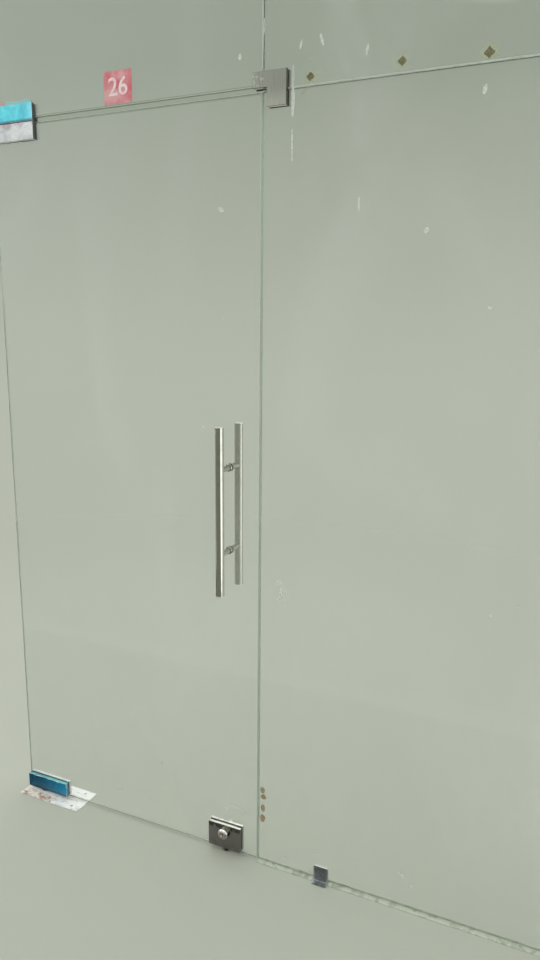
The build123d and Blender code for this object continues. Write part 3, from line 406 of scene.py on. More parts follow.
def satin_finish(settings, name="satin steel"):
    """Brushed stainless steel with fingerprints and a few dull places."""
    finish = Finish(name, settings.satin, settings.satin_roughness, settings.satin_metallic)
    brushed = finish.cloud(6.0, 3.0, stretch=(3, 160, 160))
    dull = finish.cloud(26.0, 5.0, distortion=0.8)
    worn = finish.mixed(finish.ranged(dull, 0.42, 0.68), settings.satin, (0.55, 0.56, 0.6))
    finish.link(shade_cut_ends(finish, worn, settings), finish.inputs["Base Color"])
    streaks = finish.ranged(brushed, 0.3, 0.7, -0.06, 0.08)
    prints = finish.ranged(dull, 0.45, 0.7, 0.0, 0.16)
    rough = finish.maths("ADD", finish.maths("ADD", streaks, prints), settings.satin_roughness)
    finish.link(rough, finish.inputs["Roughness"])
    finish.bump(brushed, 0.02 * MM, 0.4)
    return finish


def polished_finish(settings, name="polished steel", tone=1.0, plate=False):
    """Mirror-polished stainless steel, smudged where it is touched. A plate gets painted shade on its cut
    ends.
    """
    steel = shade(settings.polished, tone)
    finish = Finish(name, steel, settings.polished_roughness, 1.0)
    smudge = finish.cloud(45.0, 5.0, distortion=0.7)
    film = finish.cloud(9.0, 3.0)
    handled = finish.maths("MULTIPLY", finish.ranged(smudge, 0.48, 0.7), finish.ranged(film, 0.35, 0.65))
    rough = finish.maths("MULTIPLY_ADD", handled, 0.22, settings.polished_roughness)
    finish.link(rough, finish.inputs["Roughness"])
    greyed = finish.mixed(handled, steel, shade(steel, 0.82))
    if plate:
        greyed = shade_cut_ends(finish, greyed, settings)
    finish.link(greyed, finish.inputs["Base Color"])
    finish.bump(film, 0.05 * MM, 0.5)
    return finish


def turned_finish(name):
    """Bright turned steel, a little rubbed, as on the handles' caps and the lock's ring."""
    bright = (0.92, 0.92, 0.88)
    finish = Finish(name, bright, 0.3, 0.9)
    rubbed = finish.cloud(260.0, 4.0)
    finish.dull(rubbed, 0.3, 0.7, 0.26, 0.4)
    finish.paint(rubbed, 0.45, 0.7, bright, (0.6, 0.58, 0.53))
    return finish


def screw_finish(name="screw steel"):
    """Plain stainless screws and turned parts, with turning marks and grime."""
    finish = Finish(name, (0.56, 0.56, 0.53), 0.32, 1.0)
    gap_shade = finish.cloud(220.0, 4.0)
    finish.paint(gap_shade, 0.42, 0.66, (0.62, 0.62, 0.59), (0.3, 0.29, 0.26))
    finish.dull(gap_shade, 0.35, 0.7, 0.24, 0.5)
    return finish


def cast_finish():
    """Cast aluminium inside the fittings."""
    finish = Finish("cast aluminium", (0.5, 0.5, 0.51), 0.55, 1.0)
    grain = finish.cloud(600.0, 3.0)
    finish.dull(grain, 0.3, 0.7, 0.45, 0.7)
    finish.bump(grain, 0.15 * MM, 0.6)
    return finish


def plain_finish(name, base, roughness, contrast=0.8, relief=0.05 * MM):
    """Rubber, plastic, fibre, iron and sheet: a matt colour with small changes and relief."""
    finish = Finish(name, base, roughness)
    speckle = finish.cloud(120.0, 5.0)
    finish.paint(speckle, 0.35, 0.65, base, shade(base, contrast))
    finish.dull(speckle, 0.3, 0.7, roughness * 0.85, roughness)
    finish.bump(speckle, relief, 0.6)
    return finish


def brass_finish(settings):
    """Nickel-plated brass, turned and a little scratched."""
    finish = Finish("nickelled brass", settings.brass, 0.22, 1.0)
    rubbed = finish.cloud(300.0, 4.0, stretch=(1, 0.2, 1))
    finish.dull(rubbed, 0.3, 0.7, 0.15, 0.34)
    finish.paint(rubbed, 0.5, 0.7, settings.brass, shade(settings.brass, 0.75))
    return finish


# Operators, one for each group of pieces
class ENTRANCE_OT_glass(bpy.types.Operator):
    """Finish the four panes"""

    bl_idname = "entrance.glass"
    bl_label = "Glass"

    def execute(self, context):
        for pane in PANES:
            dress(pane_finish(context.scene.entrance_glass, pane), pane)
        return {"FINISHED"}


class ENTRANCE_OT_channels(bpy.types.Operator):
    """Finish the channels, strips, blocks and joints that hold the panes"""

    bl_idname = "entrance.channels"
    bl_label = "Channels"

    def execute(self, context):
        dress(self.anodised_finish(context.scene.entrance_glass.aluminium), *CHANNELS)
        dress(plain_finish("glazing rubber", (0.035, 0.035, 0.035), 0.7), "glazing_strips")
        dress(plain_finish("setting block", (0.02, 0.02, 0.022), 0.5), "setting_blocks")
        dress(self.silicone_finish(), "joint_silicone")
        return {"FINISHED"}

    def anodised_finish(self, colour):
        """Anodised aluminium with faint drawing lines and worn places."""
        finish = Finish("anodised aluminium", colour, 0.4, 1.0)
        finish.dull(finish.cloud(8.0, 3.0, stretch=(1, 40, 1)), 0.3, 0.7, 0.34, 0.48)
        finish.paint(finish.cloud(14.0, 5.0), 0.45, 0.7, colour, shade(colour, 0.82))
        return finish

    def silicone_finish(self):
        """Clear silicone that has gone cloudy and uneven."""
        finish = Finish("clear silicone", (0.46, 0.51, 0.43), 0.6)
        finish.inputs["Transmission Weight"].default_value = 0.15
        finish.inputs["IOR"].default_value = 1.41
        uneven = finish.cloud(60.0, 4.0, distortion=0.5)
        finish.dull(uneven, 0.35, 0.65, 0.5, 0.75)
        finish.paint(uneven, 0.45, 0.66, (0.54, 0.6, 0.5), (0.42, 0.47, 0.39))
        return finish


class ENTRANCE_OT_fittings(bpy.types.Operator):
    """Finish the clamping fittings, the handles and the floor spring"""

    bl_idname = "entrance.fittings"
    bl_label = "Fittings"

    def execute(self, context):
        settings = context.scene.entrance_metal
        satin = satin_finish(settings)
        polished = polished_finish(settings)
        screw = screw_finish()
        fibre = plain_finish("gasket fibre", (0.1, 0.095, 0.085), 0.8)
        nylon = plain_finish("nylon", (0.66, 0.66, 0.62), 0.45, contrast=0.92)
        dress(satin, "top_patch_covers", "bottom_patch_covers", "overpanel_patch_covers")
        dress(self.plate_finish(settings), "cover_plate")
        dress(screw_finish("strike steel"), "bolt_strike")
        dress(self.clip_finish(), "floor_clip")
        dress(self.corner_finish(settings), "corner_patch_front", "corner_patch_back")
        dress(polished, "handle_tube_front", "handle_standoffs")
        # Painted shade: the rear tube is the same steel as the front one, toned darker
        dress(polished_finish(settings, "shaded rear handle steel", 0.86), "handle_tube_back")
        dress(turned_finish("cap steel"), "handle_end_caps")
        cast = cast_finish()
        clear_gasket = plain_finish("clear gasket", (0.3, 0.33, 0.29), 0.6)
        for name in ("bottom_patch", "top_patch", "overpanel_patch"):
            dress(cast, f"{name}_body", f"{name}_clamp")
            dress(clear_gasket, f"{name}_gaskets")
        dress(fibre, "corner_patch_gaskets")
        dress(nylon, "handle_washers", "floor_clip_pad")
        dress(screw, "leaf_patch_screws", "overpanel_patch_screws", "handle_bolts", "handle_grub_screws")
        dress(screw, "top_pivot_pin", "bottom_patch_socket", "closer_spindle", "closer_valve_screws")
        bronze = plain_finish("bronze", (0.45, 0.28, 0.1), 0.35)
        bronze.inputs["Metallic"].default_value = 1.0
        dress(bronze, "top_patch_bush")
        dress(plain_finish("cast iron", (0.06, 0.06, 0.065), 0.6, relief=0.2 * MM), "closer_body")
        dress(plain_finish("zinc-coated sheet", (0.2, 0.2, 0.19), 0.45), "floor_box")
        return {"FINISHED"}

    def clip_finish(self):
        """Bent sheet steel with a bluish grey face, and a painted highlight along its upper edge and sides.
        """
        low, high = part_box("floor_clip")
        finish = Finish("clip steel", (0.3, 0.33, 0.34), 0.35, 0.9)
        rubbed = finish.cloud(140.0, 4.0)
        face = finish.mixed(finish.ranged(rubbed, 0.4, 0.66), (0.26, 0.29, 0.3), (0.42, 0.45, 0.46))
        # Painted highlight: a bright band just under the top and along each side
        top = finish.ranged(finish.along("Z"), high.z - 3 * MM, high.z - 1.5 * MM)
        half = (high.x - low.x) / 2
        away = finish.from_middle("X", low.x, high.x)
        side = finish.ranged(away, half - 5 * MM, half - 2 * MM, 0.0, 0.45)
        bright = finish.maths("MAXIMUM", top, side)
        finish.link(finish.mixed(bright, face, (0.85, 0.9, 0.9)), finish.inputs["Base Color"])
        finish.dull(rubbed, 0.3, 0.7, 0.28, 0.45)
        return finish

    def plate_finish(self, settings):
        """Pale floor plate, scuffed by feet and dusty with plaster."""
        finish = Finish("cover plate steel", settings.satin, 0.4, 0.15)
        scuffs = finish.cloud(24.0, 5.0, stretch=(1, 3, 1), distortion=1.2)
        finish.paint(scuffs, 0.52, 0.7, (0.97, 0.98, 0.96), (0.62, 0.62, 0.58))
        finish.dull(scuffs, 0.35, 0.65, 0.34, 0.6)
        finish.bump(finish.cloud(300.0, 4.0), 0.04 * MM, 0.5)
        return finish

    def corner_finish(self, settings):
        """Polished like the handles, with upright drawing lines, and paler towards its foot."""
        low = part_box("corner_patch_front")[0]
        finish = Finish("corner steel", settings.polished, 0.16, 1.0)
        lines = finish.cloud(5.0, 4.0, stretch=(90, 90, 1.5))
        light, dark = shade(settings.polished, 0.95), shade(settings.polished, 0.74)
        drawn = finish.mixed(finish.ranged(lines, 0.42, 0.66), light, dark)
        foot = finish.ranged(finish.along("Z"), low.z + 10 * MM, low.z + 42 * MM)
        toned = finish.mixed(foot, shade(settings.polished, 1.1), drawn)
        finish.link(shade_cut_ends(finish, toned, settings), finish.inputs["Base Color"])
        finish.dull(lines, 0.35, 0.7, 0.12, 0.28)
        finish.bump(lines, 0.03 * MM, 0.4)
        return finish


class ENTRANCE_OT_lock(bpy.types.Operator):
    """Finish the floor lock and its moving parts"""

    bl_idname = "entrance.lock"
    bl_label = "Lock"

    def execute(self, context):
        settings = context.scene.entrance_metal
        dress(polished_finish(settings, "lock steel", 0.9, plate=True), "lock_case", "lock_front_plate")
        dress(plain_finish("lock gasket", (0.1, 0.095, 0.085), 0.8), "lock_gaskets")
        dress(screw_finish("bolt steel"), "lock_bolt")
        dress(brass_finish(settings), "lock_cylinder")
        dress(satin_finish(settings, "thumb turn steel"), "thumb_turn")
        self.rosette()
        return {"FINISHED"}

    def rosette(self):
        """A domed ring that trims the lock's boss round the plug."""
        plug_low, plug_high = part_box("lock_cylinder")
        plug_radius, inner, outer = 7.5 * MM, 8.2 * MM, 16.6 * MM
        boss_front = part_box("lock_front_plate")[0].y
        middle = Vector(((plug_low.x + plug_high.x) / 2, boss_front, plug_high.z - plug_radius))
        bm = bmesh.new()
        rings, around = [], 56
        profile = self.dome(inner, outer)
        for turn in range(around):
            angle = 2 * math.pi * turn / around
            side, up = math.cos(angle), math.sin(angle)
            rings.append([bm.verts.new(middle + Vector((side * r, -y, up * r))) for r, y in profile])
        for turn in range(around):
            join_rings(bm, rings[turn], rings[(turn + 1) % around])
        ring = mesh_from(bm, "lock_rosette_mesh", smooth=True)
        ring.set_sharp_from_angle(angle=math.radians(40))
        add_piece("lock_rosette", ring, "door", "polished_steel", turned_finish("rosette steel"))

    def dome(self, inner, outer):
        """A profile as radii and heights that rises steeply at the rim and flattens inwards."""
        steepest, flattest, steps = 1.05, 0.18, 10
        width = (outer - inner) / steps
        profile, rise = [(outer, 0.0)], 0.0
        for step in range(steps):
            slope = steepest + (flattest - steepest) * (step + 0.5) / steps
            rise += width * math.tan(slope)
            profile.append((outer - width * (step + 1), rise))
        return [*profile, (inner, 0.0)]


class ENTRANCE_OT_screws(bpy.types.Operator):
    """Put screws with a cross recess in the countersinks"""

    bl_idname = "entrance.screws"
    bl_label = "Screws"

    def execute(self, context):
        tree = screw_tree(screw_finish("recessed screw"))
        for node, body, axis in (
            ("cover_plate_screws", "root", (0, 0, 1)),
            ("floor_clip_screw", "root", (0, 0, 1)),
            ("lock_screws", "door", (0, -1, 0)),
            ("corner_patch_screws", "root", (0, 1, 0)),
        ):
            self.place(context, tree, node, body, Vector(axis))
        return {"FINISHED"}

    def place(self, context, tree, node, body, axis):
        """Makes the screws of one node anew, each head where that node has one."""
        solids = separate_solids(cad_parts[node])
        if not solids:
            raise RuntimeError(f"{node} has no screws")
        holder = bpy.data.meshes.new(node + "_places")
        holder.from_pydata([head_of(solid, axis) for solid in solids], [], [])
        maker = bpy.data.objects.new(node + "_maker", holder)
        context.scene.collection.objects.link(maker)
        modifier = maker.modifiers.new("Screws", "NODES")
        modifier.node_group = tree
        head, shank, reach = screw_sizes(solids[0], axis)
        recess_share = 0.32
        values = {
            "Head radius": head,
            "Head height": head - shank,
            "Shank radius": shank,
            "Shank length": reach,
            "Recess width": recess_share * head,
            "Axis": axis,
        }
        mesh = made_by_nodes(maker, modifier, values, node + "_mesh")
        add_piece(node.replace("_screw", "_recessed_screw"), mesh, body, "screw_steel", replaces=(node,))


def separate_solids(source):
    """The vertex places of each separate solid of a CAD node, from a merged copy of its mesh."""
    bm = bmesh.new()
    bm.from_mesh(source.data)
    bmesh.ops.remove_doubles(bm, verts=bm.verts, dist=0.001 * MM)
    bm.verts.ensure_lookup_table()
    left = set(range(len(bm.verts)))
    solids = []
    while left:
        reached = {min(left)}
        edge = list(reached)
        while edge:
            vert = bm.verts[edge.pop()]
            for link in vert.link_edges:
                other = link.other_vert(vert).index
                if other not in reached:
                    reached.add(other)
                    edge.append(other)
        solids.append([bm.verts[index].co.copy() for index in sorted(reached)])
        left -= reached
    bm.free()
    return solids


def head_of(solid, axis):
    """The middle of a screw's head face, at its furthest place along the axis."""
    top = max(point.dot(axis) for point in solid)
    low, high = corners_of(solid)
    middle = (low + high) / 2
    return middle + axis * (top - middle.dot(axis))


def screw_sizes(solid, axis):
    """A screw's head radius, shank radius and shank length, read from its solid."""
    head = head_of(solid, axis)
    tip = min(point.dot(axis) for point in solid)

    def radius_at(level):
        return max(
            ((point - head) - axis * (point - head).dot(axis)).length
            for point in solid
            if abs(point.dot(axis) - level) < 0.01 * MM
        )

    widest, narrowest = radius_at(head.dot(axis)), radius_at(tip)
    return widest, narrowest, head.dot(axis) - tip - (widest - narrowest)


def new_tree(name, inputs):
    """A Geometry Nodes tree with named inputs. Gives the tree, its input and its output node."""
    tree = bpy.data.node_groups.new(name, "GeometryNodeTree")
    tree.interface.new_socket("Geometry", in_out="INPUT", socket_type="NodeSocketGeometry")
    for label, kind in inputs:
        tree.interface.new_socket(label, in_out="INPUT", socket_type=kind)
    tree.interface.new_socket("Geometry", in_out="OUTPUT", socket_type="NodeSocketGeometry")
    return tree, tree.nodes.new("NodeGroupInput"), tree.nodes.new("NodeGroupOutput")


def made_by_nodes(maker, modifier, values, name):
    """The plain mesh that a Geometry Nodes modifier gives, with its inputs set by identifier."""
    sockets = {item.name: item.identifier for item in modifier.node_group.interface.items_tree}
    for label, value in values.items():
        modifier[sockets[label]] = value
    graph = bpy.context.evaluated_depsgraph_get()
    mesh = bpy.data.meshes.new_from_object(maker.evaluated_get(graph))
    mesh.name = name
    if not mesh.polygons:
        raise RuntimeError(f"{name} came out empty")
    maker.modifiers.remove(modifier)
    bpy.data.objects.remove(maker)
    return mesh


class Wiring:
    """Short ways to add and join Geometry Nodes."""

    def __init__(self, tree):
        self.tree = tree

    def add(self, kind, settings=None, **links):
        """A node with its settings, and with its inputs set to values or linked to sockets."""
        node = self.tree.nodes.new(kind)
        for key, value in (settings or {}).items():
            setattr(node, key, value)
        for label, value in links.items():
            feed(self.tree, node.inputs[label.replace("_", " ")], value)
        return node

    def maths(self, operation, first, second):
        node = self.tree.nodes.new("ShaderNodeMath")
        node.operation = operation
        feed(self.tree, node.inputs[0], first)
        feed(self.tree, node.inputs[1], second)
        return node.outputs[0]

    def random(self, high, seed):
        """A number from 0 to a highest one, its own for each point."""
        node = self.add("FunctionNodeRandomValue", {"data_type": "FLOAT"}, Seed=seed)
        node.inputs[2].default_value = 0.0
        node.inputs[3].default_value = high
        return node.outputs[1]

    def vector(self, x, y, z):
        node = self.tree.nodes.new("ShaderNodeCombineXYZ")
        for label, value in zip("XYZ", (x, y, z)):
            feed(self.tree, node.inputs[label], value)
        return node.outputs[0]


def screw_tree(finish):
    """One countersunk screw with a cross recess, put on each point and turned about its axis."""
    lengths = ("Head radius", "Head height", "Shank radius", "Shank length", "Recess width")
    inputs = [(label, "NodeSocketFloat") for label in lengths] + [("Axis", "NodeSocketVector")]
    tree, given, result = new_tree("Countersunk screws", inputs)
    wire = Wiring(tree)
    size_of = given.outputs
    sides, slimmer, recess_long, recess_deep = 40, 0.995, 1.2, 1.3
    cone = wire.add(
        "GeometryNodeMeshCone",
        Vertices=sides,
        Radius_Top=size_of["Head radius"],
        Radius_Bottom=size_of["Shank radius"],
        Depth=size_of["Head height"],
    )
    down = wire.vector(0, 0, wire.maths("MULTIPLY", size_of["Head height"], -1.0))
    head = wire.add("GeometryNodeTransform", Geometry=cone.outputs["Mesh"], Translation=down)
    overlap = wire.maths("MULTIPLY", size_of["Head height"], 0.5)
    length = wire.maths("ADD", size_of["Shank length"], overlap)
    rod = wire.add(
        "GeometryNodeMeshCylinder",
        Vertices=sides,
        Radius=wire.maths("MULTIPLY", size_of["Shank radius"], slimmer),
        Depth=length,
    )
    half = wire.maths("MULTIPLY", length, -0.5)
    below = wire.vector(0, 0, wire.maths("ADD", half, wire.maths("MULTIPLY", overlap, -1.0)))
    shank = wire.add("GeometryNodeTransform", Geometry=rod.outputs["Mesh"], Translation=below)
    body = wire.add("GeometryNodeMeshBoolean", {"operation": "UNION"})
    tree.links.new(head.outputs[0], body.inputs["Mesh 2"])
    tree.links.new(shank.outputs[0], body.inputs["Mesh 2"])
    long = wire.maths("MULTIPLY", size_of["Head radius"], recess_long)
    deep = wire.maths("MULTIPLY", size_of["Head height"], recess_deep)
    cut = wire.add("GeometryNodeMeshBoolean", {"operation": "DIFFERENCE"})
    tree.links.new(body.outputs["Mesh"], cut.inputs["Mesh 1"])
    for wide, across in ((size_of["Recess width"], long), (long, size_of["Recess width"])):
        bar = wire.add("GeometryNodeMeshCube", Size=wire.vector(wide, across, deep))
        tree.links.new(bar.outputs["Mesh"], cut.inputs["Mesh 2"])
    spin = wire.random(math.pi / 2, 3)
    spun = wire.add("FunctionNodeEulerToRotation", Euler=wire.vector(0, 0, spin))
    aimed = wire.add(
        "FunctionNodeAlignRotationToVector",
        {"axis": "Z"},
        Rotation=spun.outputs[0],
        Vector=size_of["Axis"],
    )
    copies = wire.add(
        "GeometryNodeInstanceOnPoints",
        Points=size_of["Geometry"],
        Instance=cut.outputs["Mesh"],
        Rotation=aimed.outputs[0],
    )
    real = wire.add("GeometryNodeRealizeInstances", Geometry=copies.outputs[0])
    painted = wire.add("GeometryNodeSetMaterial", Geometry=real.outputs[0], Material=finish.material)
    tree.links.new(painted.outputs[0], result.inputs[0])
    return tree


def scatter_tree(finish, name, seed):
    """Irregular grains scattered over a surface, each with its own size and turn."""
    labels = ("Density", "Smallest", "Largest", "Flatness", "Ruggedness")
    tree, given, result = new_tree(name, [(label, "NodeSocketFloat") for label in labels])
    wire = Wiring(tree)
    size_of = given.outputs
    spread = wire.add(
        "GeometryNodeDistributePointsOnFaces", Mesh=size_of["Geometry"], Density=size_of["Density"], Seed=seed
    )
    grain = wire.add("GeometryNodeMeshIcoSphere", Radius=0.5, Subdivisions=2)
    flat = wire.add(
        "GeometryNodeTransform",
        Geometry=grain.outputs["Mesh"],
        Scale=wire.vector(1.0, 1.0, size_of["Flatness"]),
    )
    mostly_small, noise_scale = 2.5, 420.0
    skewed = wire.maths("POWER", wire.random(1.0, seed + 1), mostly_small)
    gap = wire.maths("SUBTRACT", size_of["Largest"], size_of["Smallest"])
    across = wire.maths("ADD", size_of["Smallest"], wire.maths("MULTIPLY", skewed, gap))
    spin = wire.random(2 * math.pi, seed + 2)
    spun = wire.add("FunctionNodeEulerToRotation", Euler=wire.vector(0, 0, spin))
    aimed = wire.add(
        "FunctionNodeRotateRotation",
        {"rotation_space": "LOCAL"},
        Rotation=spread.outputs["Rotation"],
        Rotate_By=spun.outputs[0],
    )
    copies = wire.add(
        "GeometryNodeInstanceOnPoints",
        Points=spread.outputs["Points"],
        Instance=flat.outputs[0],
        Rotation=aimed.outputs[0],
    )
    tree.links.new(across, copies.inputs["Scale"])
    real = wire.add("GeometryNodeRealizeInstances", Geometry=copies.outputs[0])
    rough = wire.add("ShaderNodeTexNoise", Scale=noise_scale)
    centred = wire.add("ShaderNodeVectorMath", {"operation": "SUBTRACT"})
    tree.links.new(rough.outputs["Color"], centred.inputs[0])
    centred.inputs[1].default_value = (0.5, 0.5, 0.5)
    pushed = wire.add("ShaderNodeVectorMath", {"operation": "SCALE"})
    tree.links.new(centred.outputs[0], pushed.inputs[0])
    tree.links.new(size_of["Ruggedness"], pushed.inputs["Scale"])
    moved = wire.add("GeometryNodeSetPosition", Geometry=real.outputs[0], Offset=pushed.outputs[0])
    painted = wire.add("GeometryNodeSetMaterial", Geometry=moved.outputs[0], Material=finish.material)
    tree.links.new(painted.outputs[0], result.inputs[0])
    return tree


def scattered(name, outline, finish, seed, values):
    """Grains over a flat outline, as one plain mesh."""
    holder = bpy.data.meshes.new(name + "_ground")
    holder.from_pydata(outline, [], [tuple(range(len(outline)))])
    maker = bpy.data.objects.new(name + "_maker", holder)
    bpy.context.scene.collection.objects.link(maker)
    modifier = maker.modifiers.new("Grains", "NODES")
    modifier.node_group = scatter_tree(finish, name + " grains", seed)
    return made_by_nodes(maker, modifier, values, name + "_mesh")


def film_finish(name, colours, from_end, box, painted_glint_share):
    """Glossy film over steel: paler where it has come off at its free end, with a painted highlight in
    patches, painted shade along its foot, painted light where it stands over or folds over the fitting's top,
    and a set colour where it folds round its end."""
    low, high = box
    colour = colours["film"]
    finish = Finish(name, colour, 0.2)
    rub = finish.cloud(30.0, 5.0, distortion=0.8)
    toned = finish.mixed(finish.ranged(rub, 0.36, 0.66), shade(colour, 1.12), shade(colour, 0.8))
    # Painted highlight: a paler colour laid over the film in patches
    painted_glint = finish.ranged(finish.cloud(13.0, 3.0, stretch=(0.5, 1, 1), turn=(0, 0.5, 0)), 0.52, 0.66)
    paler = tuple(0.5 + 0.5 * part for part in colour)
    toned = finish.mixed(finish.maths("MULTIPLY", painted_glint, painted_glint_share), toned, paler)
    loose = finish.ranged(finish.along("X"), from_end, high.x)
    toned = finish.mixed(loose, toned, colours["loose"])
    # Painted shade: darker towards the film's foot
    foot = finish.ranged(finish.along("Z"), low.z, low.z + 7 * MM)
    toned = finish.mixed(foot, shade(colour, 0.3), toned)
    near_end = finish.ranged(finish.along("X"), low.x + 60 * MM, low.x + 110 * MM, 0.4, 0.8)
    stained = finish.ranged(finish.maths("SUBTRACT", finish.cloud(34.0, 4.0), near_end), -0.1, 0.1)
    # Painted light where the film stands over or folds over the fitting's top, with real stains in it
    lit_top = finish.mixed(stained, colours["lit_top"], colours["stain"])
    over = finish.ranged(finish.along("Z"), high.z - 0.3 * MM, high.z + 0.1 * MM)
    toned = finish.mixed(over, toned, lit_top)
    # The end fold's colour, which on the upper film is painted shade
    folded = finish.ranged(finish.along("X"), high.x - 0.3 * MM, high.x + 0.1 * MM)
    finish.link(finish.mixed(folded, toned, colours["folded"]), finish.inputs["Base Color"])
    bent = finish.maths("MULTIPLY", finish.maths("MAXIMUM", over, folded), 0.6)
    rough = finish.maths("MAXIMUM", finish.ranged(rub, 0.3, 0.7, 0.14, 0.36), bent)
    finish.link(rough, finish.inputs["Roughness"])
    finish.inputs["Specular IOR Level"].default_value = 0.35
    finish.inputs["Coat Weight"].default_value = 0.1
    finish.inputs["Coat Roughness"].default_value = 0.1
    finish.bump(finish.cloud(90.0, 4.0, stretch=(1, 1, 0.4)), 0.3 * MM, 0.35)
    return finish


def over_edge(distance, run, bevel):
    """Follows a face, its bevel and the face beyond. Gives how far along and how far back."""
    flat, slope = run - bevel, bevel * math.sqrt(2)
    if distance < flat:
        return distance, 0.0
    if distance < flat + slope:
        share_of_slope = (distance - flat) / slope
        return flat + bevel * share_of_slope, bevel * share_of_slope
    return run, bevel + distance - flat - slope


def film_mesh(name, settings, box, top, end, seed):
    """A film over a cover's front. A negative top folds over the cover's upper face, and a positive
    one stands up. End is how far the film folds round the free end."""
    low, high = box
    length, height = high.x - low.x, high.z - low.z
    columns, rows, bevel = 90, 34, 0.8 * MM
    wave, lean, end_share = 0.25, 0.3, 0.4
    reach = abs(top)

    def surface(depth):
        def place(u, v):
            s, t = u * (length + end), v * (height + reach)
            x = low.x + min(s, length)
            broad, fine = ripple(x, t, 55, seed), ripple(x * 1.7, t * 2, 130, seed + 3)
            crease = settings.crease * (0.4 + broad + 0.5 * fine)
            stand = depth + max(0.0, crease) * ramp(t, 0, 4 * MM)
            along, turned_end = over_edge(s, length, bevel)
            if top < 0:
                up, turned_top = over_edge(t, height, bevel)
            else:
                over = max(0.0, t - height)
                up, turned_top = t + over * wave * ripple(x, 0, 40, seed), -lean * over
            place_on = Vector((low.x + along, low.y + turned_end + turned_top, low.z + up))
            if turned_top > bevel:
                return place_on + Vector((0, 0, depth))
            if turned_end > bevel:
                return place_on + Vector((depth + end_share * (stand - depth), 0, 0))
            return place_on + Vector((0, -stand, 0))

        return place

    def keep(u, v):
        return u * (length + end) < length or v * (height + reach) < height

    bm = bmesh.new()
    closed_sheet(bm, columns, rows, surface(settings.thickness), surface(0.02 * MM), keep)
    return mesh_from(bm, name, smooth=True)


def cover_face(covers, film):
    """The front of a cover as low and high corners, with the film's own foot and near end."""
    low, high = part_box(covers)
    film_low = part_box(film)[0]
    return Vector((film_low.x, low.y, film_low.z)), Vector((high.x, low.y, high.z))


class ENTRANCE_OT_films(bpy.types.Operator):
    """Lay the creased protective films over two of the fittings"""

    bl_idname = "entrance.films"
    bl_label = "Films"

    def execute(self, context):
        settings = context.scene.entrance_film
        box = cover_face("overpanel_patch_covers", "overpanel_patch_film")
        # Lit top is painted light on the flap over the fitting; folded is painted shade on the fitting's end
        colours = {
            "film": settings.pale,
            "loose": (0.3, 0.85, 1.0),
            "lit_top": (0.36, 0.66, 0.64),
            "stain": (0.66, 0.4, 0.42),
            "folded": (0.01, 0.16, 0.22),
        }
        pale = film_finish("lit film", colours, box[1].x - 24 * MM, box, 0.5)
        upper = film_mesh("upper_film_mesh", settings, box, settings.flap, 2.5 * MM, 2.0)
        add_piece("upper_film", upper, "root", "protective_film", pale, replaces=("overpanel_patch_film",))
        box = cover_face("bottom_patch_covers", "bottom_patch_film")
        # Lit top is painted light on the fold over the fitting's top
        colours = {
            "film": settings.deep,
            "loose": (0.005, 0.25, 0.44),
            "lit_top": (0.16, 0.55, 0.55),
            "stain": (0.1, 0.36, 0.4),
            "folded": (0.14, 0.36, 0.48),
        }
        deep = film_finish("shaded film", colours, box[0].x + 50 * MM, box, 0.06)
        lower = film_mesh("lower_film_mesh", settings, box, -settings.fold, settings.fold, 5.0)
        add_piece("lower_film", lower, "door", "protective_film", deep, replaces=("bottom_patch_film",))
        return {"FINISHED"}


class ENTRANCE_OT_film_remains(bpy.types.Operator):
    """Leave torn strips of film and glue on the leaf's upper fitting"""

    bl_idname = "entrance.film_remains"
    bl_label = "Film remains"

    def execute(self, context):
        settings = context.scene.entrance_film
        low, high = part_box("top_patch_covers")
        finish = Finish("torn film", (0.62, 0.36, 0.44), 0.4)
        faded = finish.cloud(70.0, 4.0)
        finish.paint(faded, 0.4, 0.6, (0.66, 0.36, 0.45), (0.7, 0.66, 0.72))
        bm = bmesh.new()
        for start, length, foot, tall, seed in (
            (low.x + 2 * MM, 86 * MM, high.z - 9 * MM, 6 * MM, 1.0),
            (low.x + 96 * MM, 34 * MM, high.z - 6.5 * MM, 3 * MM, 4.0),
        ):
            self.strip(bm, settings, low.y, start, length, foot, tall, seed)
        add_piece("film_remains", mesh_from(bm, "film_remains_mesh"), "door", "protective_film", finish)
        return {"FINISHED"}

    def strip(self, bm, settings, y, start, length, foot, tall, seed):
        """One torn strip with uneven edges, narrower towards its ends."""
        narrowest, ragged, sway = 0.35, 0.5, 1.5 * MM

        def surface(depth):
            def place(u, v):
                x = start + u * length
                full = ramp(u, 0, 0.1) * (1 - ramp(u, 0.8, 1.0))
                reach = tall * (narrowest + (1 - narrowest) * full) * (1 + ragged * ripple(x, 0, 120, seed))
                z = foot + v * reach + sway * ripple(x, 1, 60, seed)
                return Vector((x, y - depth, z))

            return place

        closed_sheet(bm, 40, 3, surface(settings.thickness), surface(-0.05 * MM))


